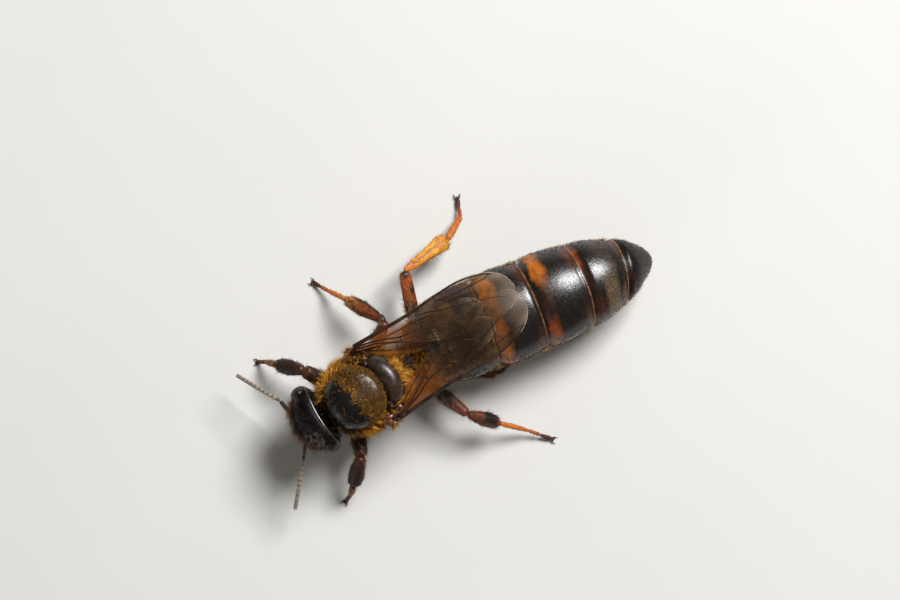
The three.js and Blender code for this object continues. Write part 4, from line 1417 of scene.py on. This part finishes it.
AMBER_TIBIA_STOPS = [(0.0, (0.42, 0.1, 0.012)), (0.2, (0.58, 0.21, 0.02)), (0.7, (0.72, 0.34, 0.035)),
                     (1.0, AMBER)]
HIND_TIBIA_STOPS = [(0.0, DEEP_RED), (0.25, (0.12, 0.03, 0.009)), (0.5, (0.42, 0.13, 0.016)), (1.0, AMBER)]
STREAK = (0.3, 0.075, 0.01)
TARSUS_STOPS = [(0.0, (0.52, 0.15, 0.016)), (0.35, (0.5, 0.11, 0.012)), (0.6, (0.3, 0.07, 0.012)),
                (0.8, (0.07, 0.02, 0.008)), (1.0, (0.05, 0.015, 0.007))]
DARK_TARSUS_STOPS = [(0.0, (0.08, 0.022, 0.008)), (0.5, (0.14, 0.035, 0.01)), (1.0, (0.07, 0.02, 0.008))]

DARK_LEG = leg_look("leg_dark", FEMUR_STOPS)
BROWN_THIGH = leg_look("leg_brown_femur", BROWN_FEMUR_STOPS)
TIBIA_MARKS = {
    "middle_left": [((0.42, 0.84), (0.03, 0.3), BLACK)],
    "middle_right": [((0.0, 0.8), (0.36, 0.56), DARK_BROWN)],
    "hind_right": [((0.15, 0.9), (0.2, 0.26), STREAK), ((0.42, 0.76), (0.4, 0.46), STREAK)],
}
# The looks of each leg's femur, tibia and foot.
LEG_LOOKS = {
    "front_left": (
        DARK_LEG,
        leg_look("leg_front_tibia", TIBIA_STOPS),
        leg_look("leg_front_foot", DARK_TARSUS_STOPS),
    ),
    "middle_left": (
        BROWN_THIGH,
        leg_look("leg_middle_tibia", BROWN_TIBIA_STOPS, TIBIA_MARKS["middle_left"]),
        leg_look("leg_amber_foot", TARSUS_STOPS),
    ),
    "middle_right": (
        BROWN_THIGH,
        leg_look("leg_red_tibia", RED_TIBIA_STOPS, TIBIA_MARKS["middle_right"]),
        leg_look("leg_red_foot", TARSUS_STOPS),
    ),
    "hind_right": (
        leg_look("leg_red_femur", RED_FEMUR_STOPS, [((0.64, 0.82), (0.31, 0.55), BLACK)]),
        leg_look("leg_amber_tibia", AMBER_TIBIA_STOPS, TIBIA_MARKS["hind_right"], 0.5, 0.4),
        leg_look("leg_hind_foot", TARSUS_STOPS, roughness=0.5, glow=0.4),
    ),
}
LEG_LOOKS["front_right"] = LEG_LOOKS["front_left"]
HIND_FOOT = LEG_LOOKS["hind_right"][2]
LEG_LOOKS["hind_left"] = (BROWN_THIGH, leg_look("leg_brown_tibia", HIND_TIBIA_STOPS), HIND_FOOT)


def leg_profile(part, widths):
    return [(at, widths[which] * factor) for at, which, factor in LEG_PROFILES[part]]


def build_claws(name, sole, ahead):
    beside = np.array([-ahead[1], ahead[0], 0])
    claws = Solid()
    claws.add_tube(lump(sole + ahead * 0.06 + [0, 0, -0.05], (0.1, 0.13, 0.07)), 14, 16)
    for side, _ in SIDES:
        for reach, fall in CLAW_POINTS:
            root = sole + beside * side * 0.04
            bend = sole + ahead * reach * 0.5 + beside * side * 0.13 + [0, 0, 0.02]
            tip = sole + ahead * reach + beside * side * 0.17 + [0, 0, 0.012 - FOOT_HEIGHT * fall]
            claws.add_wire([root, bend, tip], (0.04, 0.008), 7, 14)
    make_piece(f"leg_{name}_claws", claws, CLAW)


def build_leg(name):
    coxa, hip, knee, ankle, instep, foot = (np.array(p, float) for p in LEGS[name])
    femur_widths, tibia_widths, heel_widths, through = LEG_SHAPES[name.split("_")[0]]
    thigh_look, shin_look, foot_look = LEG_LOOKS[name]
    sole = np.array([*foot, FOOT_HEIGHT])

    neck = coxa + (hip - coxa) * HIP_BREAK
    base = Solid("share")
    base.add_tube(limb(coxa, neck, [(0, 0.4), (0.5, 0.36), (1, 0.24)], 0.9, blunt=0.14), 26, 26, (0.0, 0.5))
    ring = limb(neck - (hip - coxa) * 0.06, hip, [(0, 0.2), (0.5, 0.25), (1, 0.19)], 0.9, blunt=0.2)
    base.add_tube(ring, 26, 26, (0.0, 0.5))
    make_piece(f"leg_{name}_hip_shell", base, DARK_LEG, [f"leg_{name}_coxa"])

    thigh = limb(hip, knee, leg_profile("femur", femur_widths), through, bow=(0, 0, 0.06), blunt=0.07)
    femur = Solid("share", "round").add_tube(thigh, 44, 30)
    make_piece(f"leg_{name}_femur_shell", femur, thigh_look, [f"leg_{name}_femur"])

    shin = limb(knee, ankle, leg_profile("tibia", tibia_widths), through, blunt=0.12)
    tibia = Solid("share", "round").add_tube(shin, 44, 30)
    down = unit(ankle - knee)
    spur = [ankle + down * along + [0, 0, -fall] for along, fall in SPUR_PATH]
    tibia.add_wire(spur, (0.035, 0.006), 6, 12, share=1.0)
    make_piece(f"leg_{name}_tibia_shell", tibia, shin_look, [f"leg_{name}_tibia"])

    heel = limb(ankle, instep, leg_profile("heel", heel_widths), HEEL_THROUGH, blunt=0.06)
    tarsus = Solid("share").add_tube(heel, 34, 24, (0.0, 0.45))
    for first, last in zip(SMALL_JOINTS, SMALL_JOINTS[1:]):
        a, b = instep + (sole - instep) * first, instep + (sole - instep) * last
        wide = 0.12 if last == 1 else 0.115
        profile = [(0, 0.06), (0.3, wide * 0.75), (0.85, wide), (1, wide * 0.8)]
        joint = limb(a, b, profile, 0.8, blunt=0.12)
        tarsus.add_tube(joint, 18, 18, (0.5 + 0.5 * first, 0.5 + 0.5 * last))
    make_piece(f"leg_{name}_tarsus_shell", tarsus, foot_look, [f"leg_{name}_tarsus"])

    build_claws(name, sole, unit((sole - instep) * [1, 1, 0]))
    return thigh, shin, heel


def build_leg_hair(name, forms, seed):
    """The coats of a leg, whose thigh, shin and heel build_leg() gives back."""
    thigh, shin, heel = forms
    coxa, hip, knee, ankle, instep = (np.array(p, float) for p in LEGS[name][:5])
    base = limb(coxa, hip, [(0, 0.4), (0.5, 0.36), (1, 0.2)], 0.9)
    outward = np.sign(ankle[0]) * np.array([0.6, 0, -0.3])
    down = unit(ankle - knee)
    along = unit(instep - ankle)
    shin_coat = GOLD_HAIR if name.startswith("hind") else BROWN_HAIR

    def near_hip(points):
        share = ((points - hip) * (knee - hip)).sum(-1) / ((knee - hip) ** 2).sum()
        return 1 - 0.75 * step_up(share, 0.45, 0.75)

    grow_hair(f"leg_{name}_hip_hair", base, 90, BROWN_HAIR, length=0.3, thick=0.022, lie=(0, 0.6, -0.6),
              seed=seed + 3, hairs=3)
    grow_hair(f"leg_{name}_femur_hair", thigh, 240, PALE_HAIR, length=0.28, thick=0.011, lie=outward,
              seed=seed, lift=0.4, hairs=3, keep=near_hip)
    grow_hair(f"leg_{name}_tibia_hair", shin, 300, shin_coat, length=0.2, thick=0.01, lie=down,
              seed=seed + 1, lift=0.35, hairs=3, clump=0.03)
    grow_hair(f"leg_{name}_tarsus_hair", heel, 150, GOLD_HAIR, length=0.12, thick=0.012, lie=along,
              seed=seed + 2, lift=0.3, hairs=3, clump=0.02)


def build_legs():
    for number, name in enumerate(LEGS):
        build_leg_hair(name, build_leg(name), 100 + 10 * number)


# ---- studio ----

FLOOR_WIDE = 2.0  # metres
FRAME_WIDE = 45 * MM  # width of the picture at the bee
CAMERA_FAR = 250 * MM
CAMERA_OVER = np.array([-1.63, 6.13, 3.5])  # what the middle of the picture looks at
SENSOR_WIDE = 36
PICTURE_TURN = math.radians(58)  # from the thorax's X axis to the picture's right
# Each light: its place from the bee (picture's right, picture's up, height) and its size, in metres, and its
# power.
LIGHTS = (
    ("key", (0.094, 0.118, 0.2), 0.1, 1.0),
    ("rim", (-0.2, -0.2, 0.08), 0.1, 0.1),
)
SKY_COLOR = (1.0, 0.96, 0.9, 1)
SKY_STRENGTH = 0.14


def build_studio():
    bpy.ops.mesh.primitive_plane_add(size=FLOOR_WIDE)
    floor = bpy.context.object
    floor.name = "floor"
    floor.data.materials.append(floor_look())

    camera = bpy.data.objects.new("camera", bpy.data.cameras.new("camera"))
    camera.data.sensor_width = SENSOR_WIDE
    camera.data.lens = SENSOR_WIDE * CAMERA_FAR / FRAME_WIDE
    camera.data.clip_start = 1 * MM
    over = Vector(to_row(CAMERA_OVER))
    camera.location = over + Vector((0, 0, CAMERA_FAR))
    camera.rotation_euler = (0, 0, PICTURE_TURN + THORAX_TURN)
    bpy.context.scene.collection.objects.link(camera)
    bpy.context.scene.camera = camera

    turn = Matrix.Rotation(PICTURE_TURN + THORAX_TURN, 3, "Z")
    for name, place, size, power in LIGHTS:
        lamp = bpy.data.objects.new(name, bpy.data.lights.new(name, "AREA"))
        lamp.data.size = size
        lamp.data.energy = power
        lamp.location = over + turn @ Vector(place)
        lamp.rotation_euler = (over - lamp.location).to_track_quat("-Z", "Y").to_euler()
        bpy.context.scene.collection.objects.link(lamp)

    world = bpy.data.worlds.new("studio")
    world.use_nodes = True
    sky = world.node_tree.nodes["Background"]
    sky.inputs["Color"].default_value = SKY_COLOR
    sky.inputs["Strength"].default_value = SKY_STRENGTH
    bpy.context.scene.world = world
    bpy.context.scene.view_settings.view_transform = "Standard"


build_thorax()
build_thorax_hair()
build_abdomen()
build_abdomen_hair()
build_head()
build_head_hair()
build_wings()
build_legs()
build_studio()
